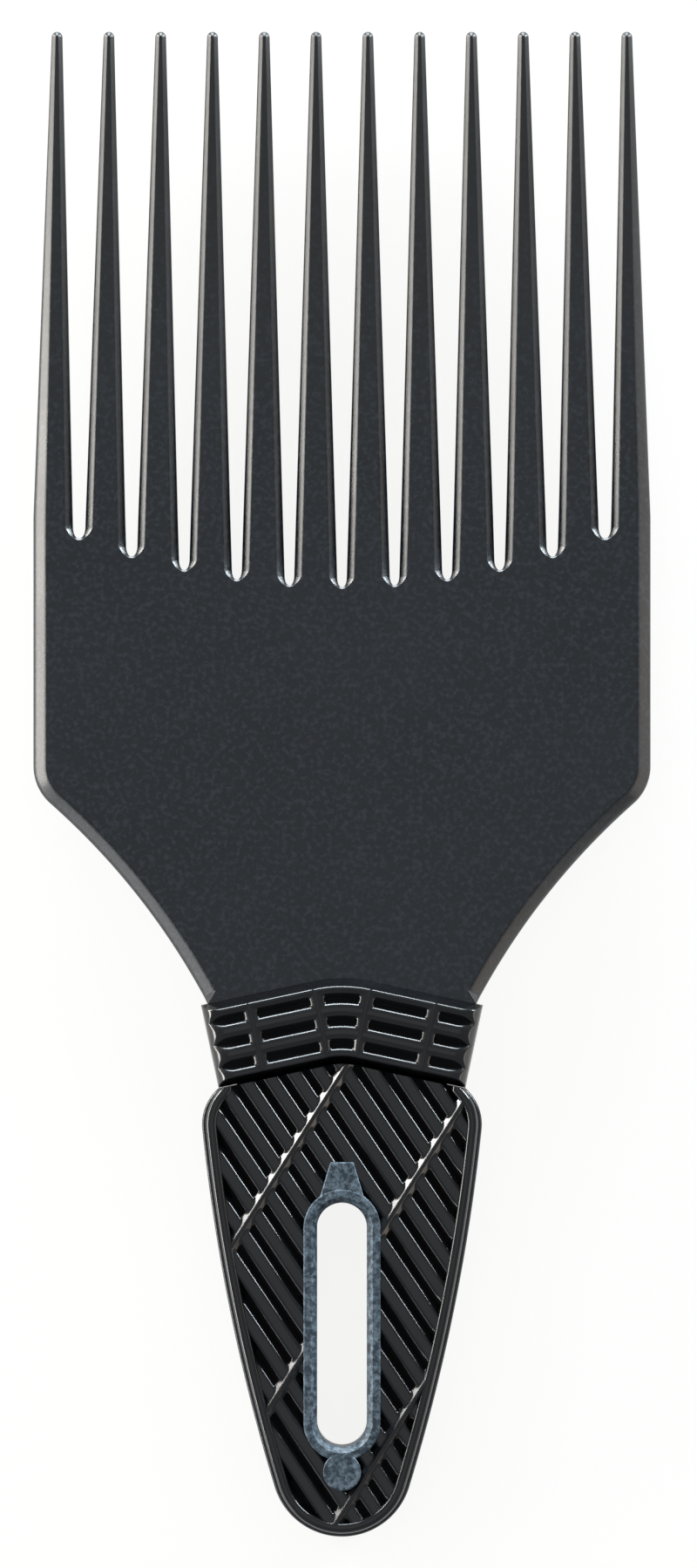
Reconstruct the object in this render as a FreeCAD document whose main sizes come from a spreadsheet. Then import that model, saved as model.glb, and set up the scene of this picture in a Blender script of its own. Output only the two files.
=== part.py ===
import FreeCAD
import Part
import math
import os
import Sketcher

# Afro pick: a toothed blade whose full tang is clad with two fluted grips, held by an eyelet
# through the hanging slot, with a two-piece lattice collar closed round the neck.
#
# The comb lies flat. X runs across the teeth, Y from the handle end to the tips and Z up through
# the thickness. The pieces are drawn about the middle plane, with Y from the handle end, and each
# is then placed so that the origin is under the middle of the comb.

# Millimetres, and degrees for angles. "along" is a distance from the handle end.
DRIVING_SIZES = {
    # Whole comb
    "overall_length": 175.0,
    "fit_clearance": 0.1,
    "cut_overrun": 1.0,
    # Blade
    "blade_width": 71.8,
    "blade_thickness": 4.0,
    "blade_edge_round": 1.5,
    "shoulder_along": 86.9,
    "shoulder_round": 5.8,
    "shoulder_sweep_radius": 82.5,
    "neck_width": 31.2,
    # Teeth
    "tooth_count": 12,
    "outer_tooth_width": 4.78,
    "tip_span": 66.3,
    "tooth_tip_width": 1.26,
    "tip_thickness": 1.3,
    "tip_edge_round": 0.55,
    "tip_bevel_length": 0.45,
    "tip_end_share": 0.52,
    "gap_root_width": 1.1,
    "gap_root_along": 111.45,
    "gap_root_arc_radius": 82.9,
    "taper_lead": 1.2,
    "flank_bevel_root": 0.75,
    "flank_bevel_tip": 0.35,
    # Collar
    "collar_apex_along": 64.9,
    "collar_thickness": 9.2,
    "collar_width": 9.8,
    "collar_arm": 13.25,
    "chevron_angle": 12.0,
    "chevron_radius": 16.5,
    "collar_bevel_angle": 20.0,
    "collar_side_bevel": 1.0,
    "collar_row_count": 3,
    "collar_row_pitch": 2.55,
    "collar_row_crest": 0.35,
    "collar_pit_depth": 1.05,
    "collar_bar_spacing": 7.75,
    "collar_bar_crest": 0.7,
    "collar_bar_run": 0.35,
    "collar_lug_length": 3.0,
    "collar_lug_width": 2.0,
    "collar_lug_reach": 1.3,
    "collar_lug_share": 0.35,
    # Tang
    "tang_thickness": 3.0,
    "tang_edge_bevel": 0.3,
    "neck_core_width": 24.4,
    "neck_core_lap": 2.5,
    # Handle outline
    "handle_shoulder_step": 1.85,
    "handle_shoulder_height": 4.8,
    "handle_width": 32.5,
    "handle_side_radius": 220.0,
    "handle_end_radius": 8.2,
    # Grips
    "grip_thickness": 2.6,
    "grip_ledge": 0.5,
    "grip_edge_bevel": 0.6,
    "rim_width": 1.4,
    "flute_angle": 56.0,
    "flute_pitch": 2.56,
    "flute_depth": 0.85,
    "flute_crest": 1.3,
    "flute_phase": 1.48,
    "vein_angle": 57.5,
    "vein_count": 3,
    "vein_pitch": 13.75,
    "vein_phase": -2.0,
    "vein_crest": 0.8,
    "vein_run": 0.35,
    # Hanging slot and its eyelet
    "slot_width": 5.8,
    "slot_length": 28.4,
    "slot_centre_along": 24.7,
    "slot_lip_bevel": 0.5,
    "slot_wall": 0.8,
    "frame_width": 1.56,
    "frame_thickness": 1.15,
    "frame_seat_depth": 0.9,
    "frame_edge_bevel": 0.15,
    "frame_border": 0.3,
    "disc_along": 7.68,
    "disc_diameter": 4.4,
    "disc_stem_diameter": 2.2,
    "land_top_along": 43.6,
    "land_base_along": 39.4,
    "land_top_width": 2.1,
    "land_base_width": 5.2,
    "disc_socket_depth": 0.7,
}

SHEET_NAME = "Sizes"
ROUNDING = 1e-6


class Size:
    """A size that carries its number and the sheet formula that gives it."""

    def __init__(self, number, formula):
        self.number = number
        self.formula = formula

    def __add__(self, other):
        other = as_size(other)
        return Size(self.number + other.number, f"({self.formula} + {other.formula})")

    def __sub__(self, other):
        other = as_size(other)
        return Size(self.number - other.number, f"({self.formula} - {other.formula})")

    def __mul__(self, other):
        other = as_size(other)
        return Size(self.number * other.number, f"({self.formula} * {other.formula})")

    def __truediv__(self, other):
        other = as_size(other)
        return Size(self.number / other.number, f"({self.formula} / {other.formula})")

    def __neg__(self):
        return Size(-self.number, f"(-1 * {self.formula})")


def as_size(value):
    if isinstance(value, Size):
        return value
    return Size(float(value), str(value))


def sine(angle):
    return Size(math.sin(math.radians(angle.number)), f"sin({angle.formula})")


def cosine(angle):
    return Size(math.cos(math.radians(angle.number)), f"cos({angle.formula})")


def tangent(angle):
    return Size(math.tan(math.radians(angle.number)), f"tan({angle.formula})")


def square_root(size):
    return Size(math.sqrt(size.number), f"sqrt({size.formula})")


ZERO = Size(0.0, "0")


def fill_sheet(doc):
    """Write the driving sizes into the sheet and return them as sizes by name."""
    sheet = doc.addObject("Spreadsheet::Sheet", SHEET_NAME)
    for row, (alias, number) in enumerate(DRIVING_SIZES.items(), start=1):
        sheet.set(f"A{row}", alias)
        sheet.set(f"B{row}", str(number))
        sheet.setAlias(f"B{row}", alias)
    doc.recompute()
    return {alias: Size(float(sheet.get(alias)), f"{SHEET_NAME}.{alias}") for alias in DRIVING_SIZES}


doc = FreeCAD.newDocument("afro_pick")
size = fill_sheet(doc)


# Sketch and feature helpers

class Bend:
    """An arc from one corner to the next: outward or hollow, with its centre pinned if given.

    The radius of a free bend is a first guess: its corners and tangents give the real one.
    """

    def __init__(self, radius, outward=True, centre=None, free=False):
        self.radius = radius
        self.outward = outward
        self.centre = centre
        self.free = free


class Corner:
    """A corner of a clockwise outline, and the bend that leaves it.

    At a smooth corner the two sides run on tangent. One that isn't pinned is a first guess.
    """

    def __init__(self, x, y, bend=None, smooth=False, pinned=True):
        self.x = x
        self.y = y
        self.bend = bend
        self.smooth = smooth
        self.pinned = pinned

    def mirrored(self, bend):
        return Corner(-self.x, self.y, bend, self.smooth, self.pinned)

    def point(self):
        return FreeCAD.Vector(self.x.number, self.y.number, 0)


def both_sides(right, closing_bend=None):
    """A symmetrical outline from its right side, listed downwards, and the bend that closes it."""
    left = []
    for index in range(len(right) - 1, -1, -1):
        leaving = right[index - 1].bend if index else None
        left.append(right[index].mirrored(leaving))
    last = right[-1]
    return right[:-1] + [Corner(last.x, last.y, closing_bend, last.smooth, last.pinned)] + left


def draw_segment(sketch, corner, following):
    """Add one side of an outline; return its index and the ends where it starts and stops."""
    start = corner.point()
    stop = following.point()
    if corner.bend is None:
        return sketch.addGeometry(Part.LineSegment(start, stop)), 1, 2
    radius = corner.bend.radius.number
    chord = stop - start
    left = FreeCAD.Vector(-chord.y, chord.x, 0).normalize()
    rise = math.sqrt(max(radius ** 2 - (chord.Length / 2) ** 2, 0))
    middle = (start + stop) / 2
    centre = middle - left * rise if corner.bend.outward else middle + left * rise
    circle = Part.Circle(centre, FreeCAD.Vector(0, 0, 1), radius)
    first, last = (stop, start) if corner.bend.outward else (start, stop)
    angles = [math.atan2(end.y - centre.y, end.x - centre.x) for end in (first, last)]
    index = sketch.addGeometry(Part.ArcOfCircle(circle, angles[0], angles[1]))
    return (index, 2, 1) if corner.bend.outward else (index, 1, 2)


def constrain(sketch, value, kind, *references):
    index = sketch.addConstraint(Sketcher.Constraint(kind, *references, value.number))
    sketch.setExpression(f"Constraints[{index}]", value.formula)


def pin(sketch, index, end, x, y):
    """Hold one point of a sketch at x and y."""
    if x.formula == ZERO.formula:
        sketch.addConstraint(Sketcher.Constraint("PointOnObject", index, end, -2))
    else:
        constrain(sketch, x, "DistanceX", -1, 1, index, end)
    if y.formula == ZERO.formula:
        sketch.addConstraint(Sketcher.Constraint("PointOnObject", index, end, -1))
    else:
        constrain(sketch, y, "DistanceY", -1, 1, index, end)


def draw_outline(sketch, corners):
    """Draw a closed outline and tie every corner and radius to the sheet."""
    sides = []
    for index, corner in enumerate(corners):
        sides.append(draw_segment(sketch, corner, corners[(index + 1) % len(corners)]))
    for index, corner in enumerate(corners):
        before, _, before_end = sides[index - 1]
        after, after_end, _ = sides[index]
        joint = "Tangent" if corner.smooth else "Coincident"
        sketch.addConstraint(Sketcher.Constraint(joint, before, before_end, after, after_end))
        if corner.pinned:
            pin(sketch, after, after_end, corner.x, corner.y)
    for (index, _, _), corner in zip(sides, corners):
        if corner.bend is not None:
            if not corner.bend.free:
                constrain(sketch, corner.bend.radius, "Radius", index)
            if corner.bend.centre is not None:
                pin(sketch, index, 3, *corner.bend.centre)
    return sketch


def bind(feature, **values):
    for name, value in values.items():
        feature.setExpression(name, value.formula)
    return feature


def place(feature, x=ZERO, y=ZERO, z=ZERO, rotation=None):
    """Place a feature, with its position tied to the sheet."""
    turn = rotation if rotation is not None else FreeCAD.Rotation()
    feature.Placement = FreeCAD.Placement(FreeCAD.Vector(x.number, y.number, z.number), turn)
    feature.setExpression("Placement.Base.x", x.formula)
    feature.setExpression("Placement.Base.y", y.formula)
    feature.setExpression("Placement.Base.z", z.formula)
    return feature


def upright():
    """The turn that stands a sketch up in the XZ plane."""
    return FreeCAD.Rotation(FreeCAD.Vector(1, 0, 0), 90)


def new_body(name):
    return doc.addObject("PartDesign::Body", name)


def body_sketch(body, role, name, corners, lift=None):
    """A sketch on one of the body's origin planes, lifted off it along its normal if asked."""
    sketch = body.newObject("Sketcher::SketchObject", name)
    plane = [feature for feature in body.Origin.OriginFeatures if feature.Role == role][0]
    sketch.AttachmentSupport = [(plane, "")]
    sketch.MapMode = "FlatFace"
    if lift is not None:
        sketch.AttachmentOffset = FreeCAD.Placement(FreeCAD.Vector(0, 0, lift.number), FreeCAD.Rotation())
        sketch.setExpression("AttachmentOffset.Base.z", lift.formula)
    return draw_outline(sketch, corners)


def pad(body, sketch, name, length, symmetric=False, bevel=None):
    feature = body.newObject("PartDesign::Pad", name)
    feature.Profile = sketch
    feature.SideType = "Symmetric" if symmetric else "One side"
    bind(feature, Length=length)
    if bevel is not None:
        bind(feature, TaperAngle=-bevel)
    doc.recompute()
    return feature


def dress(body, kind, base, name, wanted, **amount):
    """Fillet or chamfer the edges of the last feature whose middle point passes the test."""
    names = []
    for index, edge in enumerate(base.Shape.Edges, start=1):
        middle = edge.valueAt((edge.FirstParameter + edge.LastParameter) / 2)
        if wanted(middle):
            names.append(f"Edge{index}")
    feature = body.newObject(f"PartDesign::{kind}", name)
    feature.Base = (base, names)
    bind(feature, **amount)
    doc.recompute()
    return feature


def fillet(body, base, name, radius, wanted):
    return dress(body, "Fillet", base, name, wanted, Radius=radius)


def chamfer(body, base, name, width, wanted):
    return dress(body, "Chamfer", base, name, wanted, Size=width)


def prism(name, corners, bottom, height):
    """A straight prism on an outline in the XY plane, from bottom upwards."""
    sketch = draw_outline(doc.addObject("Sketcher::SketchObject", f"{name}_outline"), corners)
    place(sketch, z=bottom)
    feature = doc.addObject("Part::Extrusion", name)
    feature.Base = sketch
    feature.DirMode = "Custom"
    feature.Dir = FreeCAD.Vector(0, 0, 1)
    feature.Solid = True
    return bind(feature, LengthFwd=height)


def block(name, across, along, height, x, y, bottom):
    """A box centred on x and y, from bottom upwards."""
    feature = bind(doc.addObject("Part::Box", name), Length=across, Width=along, Height=height)
    return place(feature, x - across / 2, y - along / 2, bottom)


def cylinder(name, diameter, x, y, bottom, height):
    feature = bind(doc.addObject("Part::Cylinder", name), Radius=diameter / 2, Height=height)
    return place(feature, x, y, bottom)


def join(name, pieces):
    feature = doc.addObject("Part::MultiFuse", name)
    feature.Shapes = pieces
    return feature


def group(name, pieces):
    feature = doc.addObject("Part::Compound", name)
    feature.Links = pieces
    return feature


def cut(name, base, tool):
    feature = doc.addObject("Part::Cut", name)
    feature.Base = base
    feature.Tool = tool
    return feature


def common(name, base, tool):
    feature = doc.addObject("Part::Common", name)
    feature.Base = base
    feature.Tool = tool
    return feature


# Heights about the middle plane

clearance = size["fit_clearance"]
overrun = size["cut_overrun"]
blade_face = size["blade_thickness"] / 2
tang_face = size["tang_thickness"] / 2
collar_face = size["collar_thickness"] / 2
grip_face = tang_face + size["grip_thickness"]
frame_seat = grip_face - size["frame_seat_depth"]
frame_face = frame_seat + size["frame_thickness"]

# The chevron that the collar, the blade's foot and the grips' upper ends all follow

chevron_sine = sine(size["chevron_angle"])
chevron_cosine = cosine(size["chevron_angle"])
chevron_outer = size["chevron_radius"]
chevron_inner = chevron_outer - size["collar_width"]
chevron_centre = size["collar_apex_along"] - chevron_outer


def chevron_corner(radius, run):
    """A point on the right arm of the chevron of that radius, a run beyond its bend."""
    x = radius * chevron_sine + run * chevron_cosine
    y = chevron_centre + radius * chevron_cosine - run * chevron_sine
    return Corner(x, y)


def chevron_band(inner, outer, arm):
    """The outline of a band between two chevrons, with arms of that length."""
    right = [
        chevron_corner(outer, ZERO),
        chevron_corner(outer, arm),
        chevron_corner(inner, arm),
        chevron_corner(inner, ZERO),
    ]
    outline = both_sides(right, Bend(inner, outward=False))
    outline[-1].bend = Bend(outer)
    return outline


# Blade with its teeth

# How far below a gap's root its bottom narrows, and to what share of its width
GAP_BOTTOM_SHARES = ((1.0, 0.25), (0.7, 0.7))

gap_count = int(size["tooth_count"].number) - 1
outermost_gap = (size["tooth_count"] - 2) / 2
tip_end = size["overall_length"] - size["tip_bevel_length"]
tip_pitch = size["tip_span"] / (size["tooth_count"] - 1)
tip_width = size["tooth_tip_width"]
tip_thickness = size["tip_thickness"]
tip_gap = tip_pitch - tip_width
end_share = size["tip_end_share"]
root_pitch = (
    size["blade_width"] / 2 - size["outer_tooth_width"] - size["gap_root_width"] / 2
) / outermost_gap


def root_along(x):
    """Where a gap at x starts to narrow into its bottom: the roots lie on an arc."""
    radius = size["gap_root_arc_radius"]
    return size["gap_root_along"] + radius - square_root(radius * radius - x * x)


def gap_width(along):
    """The gaps widen evenly from the middle root to the tips."""
    travel = (along - size["gap_root_along"]) / (tip_end - size["gap_root_along"])
    return size["gap_root_width"] + (tip_gap - size["gap_root_width"]) * travel


taper_start = root_along(root_pitch * outermost_gap) + size["taper_lead"]


def rounded_bar(width, thickness, edge_round):
    """The cross-section of the toothed end: a flat bar with rounded edges."""
    x = width / 2
    z = thickness / 2
    right = [
        Corner(x - edge_round, z, Bend(edge_round)),
        Corner(x, z - edge_round),
        Corner(x, edge_round - z, Bend(edge_round)),
        Corner(x - edge_round, -z),
    ]
    return both_sides(right)


def make_blade_plate():
    """The blade without its gaps: a flat plate with a toothed end that thins to the tips."""
    body = new_body("blade_plate")
    foot = chevron_outer + clearance
    neck = size["neck_width"] / 2
    neck_run = (neck - foot * chevron_sine) / chevron_cosine
    side = size["blade_width"] / 2
    right = [
        Corner(side, taper_start),
        Corner(side, size["shoulder_along"], Bend(size["shoulder_sweep_radius"], outward=False)),
        chevron_corner(foot, neck_run),
        chevron_corner(foot, ZERO),
    ]
    outline = body_sketch(body, "XY_Plane", "blade_outline", both_sides(right, Bend(foot, outward=False)))
    plate = pad(body, outline, "blade_pad", size["blade_thickness"], symmetric=True)

    def at_shoulder(middle):
        on_corner = abs(middle.y - size["shoulder_along"].number) < ROUNDING
        return on_corner and abs(abs(middle.x) - side.number) < ROUNDING

    def on_rim(middle):
        on_face = abs(abs(middle.z) - blade_face.number) < ROUNDING
        return on_face and abs(middle.x) > neck.number

    shoulders = fillet(body, plate, "shoulder_fillet", size["shoulder_round"], at_shoulder)
    fillet(body, shoulders, "blade_edge_fillet", size["blade_edge_round"], on_rim)
    root_bar = rounded_bar(size["blade_width"], size["blade_thickness"], size["blade_edge_round"])
    tip_bar = rounded_bar(size["tip_span"] + tip_width, tip_thickness, size["tip_edge_round"])
    end_width = size["tip_span"] + tip_width * end_share
    end_bar = rounded_bar(end_width, tip_thickness * end_share, size["tip_edge_round"] * end_share)
    loft = body.newObject("PartDesign::AdditiveLoft", "toothed_end")
    loft.Profile = body_sketch(body, "XZ_Plane", "root_section", root_bar, -taper_start)
    loft.Sections = [
        body_sketch(body, "XZ_Plane", "tip_section", tip_bar, -tip_end),
        body_sketch(body, "XZ_Plane", "end_section", end_bar, -size["overall_length"]),
    ]
    loft.Ruled = True
    body.Tip = loft
    doc.recompute()
    return body


def gap_side(width, thickness, bevel):
    """The right side of a gap's section: tooth flanks with bevelled edges, open at both faces."""
    narrow = width / 2
    wide = narrow + bevel
    face = thickness / 2
    return [
        Corner(wide, face + overrun),
        Corner(wide, face),
        Corner(narrow, face - bevel),
        Corner(narrow, bevel - face),
        Corner(wide, -face),
        Corner(wide, -(face + overrun)),
    ]


def standing_sketch(name, corners, x, y):
    sketch = draw_outline(doc.addObject("Sketcher::SketchObject", name), corners)
    return place(sketch, x, y, rotation=upright())


def make_gap(index):
    """The cutter of one gap: a lofted slot from its rounded bottom to the tips."""
    step = as_size(index) - as_size(gap_count - 1) / 2
    root_x = root_pitch * step
    tip_x = tip_pitch * step
    root_y = root_along(root_x)
    thickness = size["blade_thickness"]
    flank = size["flank_bevel_root"]
    root_width = gap_width(root_y)
    bottom_depth = root_width / 2 + flank
    sections = []
    for depth_share, width_share in GAP_BOTTOM_SHARES:
        bottom = gap_side(root_width * width_share, thickness, flank * width_share)
        sections.append((bottom, root_x, root_y - bottom_depth * depth_share))
    root = gap_side(root_width, thickness, flank)
    start = gap_side(gap_width(taper_start), thickness, flank)
    tip_flank = size["flank_bevel_tip"]
    tip = gap_side(tip_gap, tip_thickness, tip_flank)
    end = gap_side(tip_pitch - tip_width * end_share, tip_thickness * end_share, tip_flank * end_share)
    sections += [
        (root, root_x, root_y),
        (start, root_x, taper_start),
        (tip, tip_x, tip_end),
        (end, tip_x, size["overall_length"]),
    ]
    loft = doc.addObject("Part::Loft", f"gap_{index}")
    loft.Sections = [
        standing_sketch(f"gap_{index}_section_{order}", both_sides(side), x, along)
        for order, (side, x, along) in enumerate(sections)
    ]
    loft.Solid = True
    loft.Ruled = True
    return loft


# Handle outline, shared by the tang, the grips and the fluted field

handle_chevron = chevron_inner - clearance


def handle_top_corner(inset):
    """Where the handle's side meets the collar's lower edge."""
    half = size["handle_width"] / 2 - size["handle_shoulder_step"] - inset
    return chevron_corner(handle_chevron, (half - handle_chevron * chevron_sine) / chevron_cosine)


def below_collar(middle):
    """Whether the middle point of an edge lies on the handle's sides or its end."""
    return middle.y < handle_top_corner(ZERO).y.number


def handle_widest_corner(inset):
    """Where the shoulder runs into the side, below the top corner."""
    along = handle_top_corner(ZERO).y - size["handle_shoulder_height"]
    return Corner(size["handle_width"] / 2 - inset, along, smooth=True)


def tangent_corner(inset):
    """Where the side arc runs into the end arc, as a first guess for the solver."""
    side = (size["handle_side_radius"] - inset).number
    end = (size["handle_end_radius"] - inset).number
    start = handle_widest_corner(inset).point()
    end_centre = FreeCAD.Vector(0, size["handle_end_radius"].number, 0)
    line = end_centre - start
    along = (side ** 2 - (side - end) ** 2 + line.Length ** 2) / (2 * line.Length)
    across = math.sqrt(side ** 2 - along ** 2)
    direction = line.normalize()
    side_centre = start + direction * along + FreeCAD.Vector(direction.y, -direction.x, 0) * across
    outward = (end_centre - side_centre).normalize()
    touch = end_centre + outward * end
    return Corner(as_size(touch.x), as_size(touch.y), smooth=True, pinned=False)


def handle_outline(inset):
    """The handle's outline below the collar, with its sides and its end drawn in by an inset."""
    top = handle_top_corner(inset)
    widest = handle_widest_corner(inset)
    top.bend = Bend(size["handle_shoulder_height"], free=True)
    widest.bend = Bend(size["handle_side_radius"] - inset)
    right = [chevron_corner(handle_chevron, ZERO), top, widest, tangent_corner(inset)]
    end = Bend(size["handle_end_radius"] - inset, centre=(ZERO, size["handle_end_radius"]))
    outline = both_sides(right, end)
    outline[-1].bend = Bend(handle_chevron)
    return outline


# The hanging slot's outlines

slot_run = (size["slot_length"] - size["slot_width"]) / 2
slot_upper = size["slot_centre_along"] + slot_run
slot_lower = size["slot_centre_along"] - slot_run
tube_width = size["slot_width"] + size["slot_wall"] * 2
frame_outer_width = size["slot_width"] + size["frame_width"] * 2
disc_hole = size["disc_stem_diameter"] + clearance * 2


def oblong(width):
    """A slot outline of that width round the slot's two end centres."""
    x = width / 2
    upper = Bend(x, centre=(ZERO, slot_upper))
    lower = Bend(x, centre=(ZERO, slot_lower))
    right = [Corner(x, end, smooth=True, pinned=False) for end in (slot_upper, slot_lower)]
    outline = both_sides(right, lower)
    outline[-1].bend = upper
    return outline


def frame_prism(name, grow, bottom, height):
    """The slot frame with its disc and its land, all grown outwards by one amount."""
    top = size["land_top_width"] / 2 + grow
    base = size["land_base_width"] / 2 + grow
    land = both_sides([Corner(top, size["land_top_along"] + grow), Corner(base, size["land_base_along"])])
    disc = size["disc_diameter"] + grow * 2
    return join(name, [
        prism(f"{name}_oblong", oblong(frame_outer_width + grow * 2), bottom, height),
        prism(f"{name}_land", land, bottom, height),
        cylinder(f"{name}_disc", disc, ZERO, size["disc_along"], bottom, height),
    ])


def make_tang():
    """The core of the handle: full outline, bevelled edge, with the neck that the collar closes on."""
    body = new_body("tang_body")
    outline = body_sketch(body, "XY_Plane", "tang_outline", handle_outline(ZERO))
    plate = pad(body, outline, "tang_pad", size["tang_thickness"], symmetric=True)

    def on_rim(middle):
        return abs(abs(middle.z) - tang_face.number) < ROUNDING and below_collar(middle)

    chamfer(body, plate, "tang_edge", size["tang_edge_bevel"], on_rim)
    below = -(tang_face + overrun)
    through = size["tang_thickness"] + overrun * 2
    lap = size["neck_core_lap"]
    core_low = chevron_corner(chevron_inner, size["collar_arm"]).y - lap
    core_high = size["collar_apex_along"] + lap
    core_middle = (core_low + core_high) / 2
    core = block(
        "neck_core", size["neck_core_width"], core_high - core_low, size["tang_thickness"],
        ZERO, core_middle, -tang_face,
    )
    holes = [
        prism("tang_slot", oblong(tube_width + clearance * 2), below, through),
        cylinder("tang_disc_hole", disc_hole, ZERO, size["disc_along"], below, through),
    ]
    for side in (-1, 1):
        holes.append(collar_lug(f"tang_lug_hole_{side + 1}", side, clearance, below, through))
    return cut("tang", join("tang_solid", [body, core]), join("tang_holes", holes))


# Collar

def collar_lug(name, side, grow, bottom, height):
    """The block of a lug or of its hole, in the middle of the band on that side, grown all round."""
    middle = (chevron_inner + chevron_outer) / 2
    spot = chevron_corner(middle, size["collar_arm"] * size["collar_lug_share"])
    across = size["collar_lug_length"] + grow * 2
    along = size["collar_lug_width"] + grow * 2
    return block(name, across, along, height, spot.x * side, spot.y, bottom)


def laid(angle):
    """The turn that lays a wedge face down, its length at that angle from the Y axis."""
    flat = FreeCAD.Rotation(FreeCAD.Vector(1, 0, 0), -90)
    return FreeCAD.Rotation(FreeCAD.Vector(0, 0, 1), angle) * flat


def sunk_wedge(name, depth, rise, at_face, at_depth, ends):
    """A long bar sunk from a face, with its left and right edges there and at depth.

    Its walls run on above the face by the rise. It still has to be laid in place.
    """
    edges = [high + (high - low) * rise / depth for high, low in zip(at_face, at_depth)]
    wedge = doc.addObject("Part::Wedge", name)
    return bind(
        wedge,
        Xmin=edges[0], Xmax=edges[1], Ymin=-rise, Zmin=ends[0], Zmax=ends[1],
        X2min=at_depth[0], X2max=at_depth[1], Ymax=depth, Z2min=ends[0], Z2max=ends[1],
    )


def bar_wedge(name, middle, crest, run, depth, rise, ends):
    """The bar that parts two pits: a flat crest whose sides spread downwards."""
    half = crest / 2
    foot = half + run
    at_face = (middle - half, middle + half)
    at_depth = (middle - foot, middle + foot)
    return sunk_wedge(name, depth + rise, rise * 2, at_face, at_depth, ends)


collar_bevel_run = (collar_face - blade_face) * tangent(size["collar_bevel_angle"])
collar_pit_rise = size["collar_row_crest"] * size["collar_pit_depth"] / size["collar_row_pitch"] / 2


def lattice_row(row):
    """The inner, valley and outer radius of one sunk row of the collar's lattice."""
    crest = size["collar_row_crest"] / 2
    outer = chevron_outer - collar_bevel_run - size["collar_row_pitch"] * row
    inner = outer - size["collar_row_pitch"]
    return inner + crest, (inner + outer) / 2, outer - crest


def make_bend_groove(row):
    """The middle of a lattice row, turned round the chevron's centre between its inner bars."""
    inner, valley, outer = lattice_row(row)
    widen = collar_pit_rise / size["collar_pit_depth"]
    triangle = [
        Corner(outer + (outer - valley) * widen, collar_face + collar_pit_rise),
        Corner(valley, collar_face - size["collar_pit_depth"]),
        Corner(inner - (valley - inner) * widen, collar_face + collar_pit_rise),
    ]
    groove = doc.addObject("Part::Revolution", f"collar_bend_groove_{row}")
    section = standing_sketch(f"collar_bend_section_{row}", triangle, ZERO, chevron_centre)
    section.Placement.Rotation = FreeCAD.Rotation(FreeCAD.Vector(0, 0, 1), 90) * upright()
    groove.Source = section
    groove.Axis = FreeCAD.Vector(0, 0, 1)
    groove.Solid = True
    groove.Symmetric = True
    return bind(groove, **{"Base.y": chevron_centre, "Angle": size["chevron_angle"] * 2})


def make_collar_pits():
    """Chevron rows of V pits, parted by four bars."""
    depth = size["collar_pit_depth"]
    angle = size["chevron_angle"].number
    near = size["collar_bar_crest"] / 4
    far = size["collar_arm"] + overrun
    grooves = []
    for row in range(int(size["collar_row_count"].number)):
        inner, valley, outer = lattice_row(row)
        grooves.append(make_bend_groove(row))
        for side, ends in ((-1, (near, far)), (1, (-far, -near))):
            name = f"collar_groove_{row}_{side + 1}"
            arm = sunk_wedge(name, depth, collar_pit_rise, (inner, outer), (valley, valley), ends)
            grooves.append(place(arm, y=chevron_centre, z=collar_face, rotation=laid(90 - angle * side)))
    bars = []
    for side in (-1, 1):
        for index in range(2):
            middle = size["collar_bar_spacing"] * (index * side)
            ends = (chevron_inner - overrun, chevron_outer + overrun)
            bar = bar_wedge(
                f"collar_bar_{side + 1}_{index}", middle, size["collar_bar_crest"],
                size["collar_bar_run"], depth, collar_pit_rise, ends,
            )
            bars.append(place(bar, y=chevron_centre, z=collar_face, rotation=laid(-angle * side)))
    return cut("collar_pits", group("collar_grooves", grooves), join("collar_bars", bars))


def make_collar_blank():
    """One half of the collar before its lattice: a bevelled chevron, channelled for the neck.

    Each half has one lug and one socket, so that two of a kind close on each other.
    """
    body = new_body("collar_half")
    band = chevron_band(chevron_inner, chevron_outer, size["collar_arm"])
    pad(body, body_sketch(body, "XY_Plane", "collar_outline", band), "collar_base", blade_face)
    crown_outline = body_sketch(body, "XY_Plane", "collar_crown_outline", band, blade_face)
    crown = pad(
        body, crown_outline, "collar_crown", collar_face - blade_face, bevel=size["collar_bevel_angle"]
    )

    def on_side(middle):
        from_centre = middle.y - chevron_centre.number
        run = abs(middle.x) * chevron_cosine.number - from_centre * chevron_sine.number
        on_face = abs(middle.z - collar_face.number) < ROUNDING
        return on_face and run + collar_bevel_run.number * 2 > size["collar_arm"].number

    chamfer(body, crown, "collar_side", size["collar_side_bevel"], on_side)
    low = chevron_corner(chevron_inner, size["collar_arm"]).y - overrun
    high = size["collar_apex_along"] + overrun
    channel = block(
        "collar_channel", size["neck_core_width"] + clearance * 2, high - low,
        tang_face + clearance + overrun, ZERO, (low + high) / 2, -overrun,
    )
    lug_low = -(tang_face + size["collar_lug_reach"])
    lug = collar_lug("collar_lug", 1, ZERO, lug_low, tang_face + overrun - lug_low)
    socket = collar_lug("collar_socket", -1, clearance, ZERO, clearance - lug_low)
    hollowed = cut("collar_hollowed", body, join("collar_hollows", [channel, socket]))
    return join("collar_blank", [hollowed, lug])


# Grips

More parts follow.
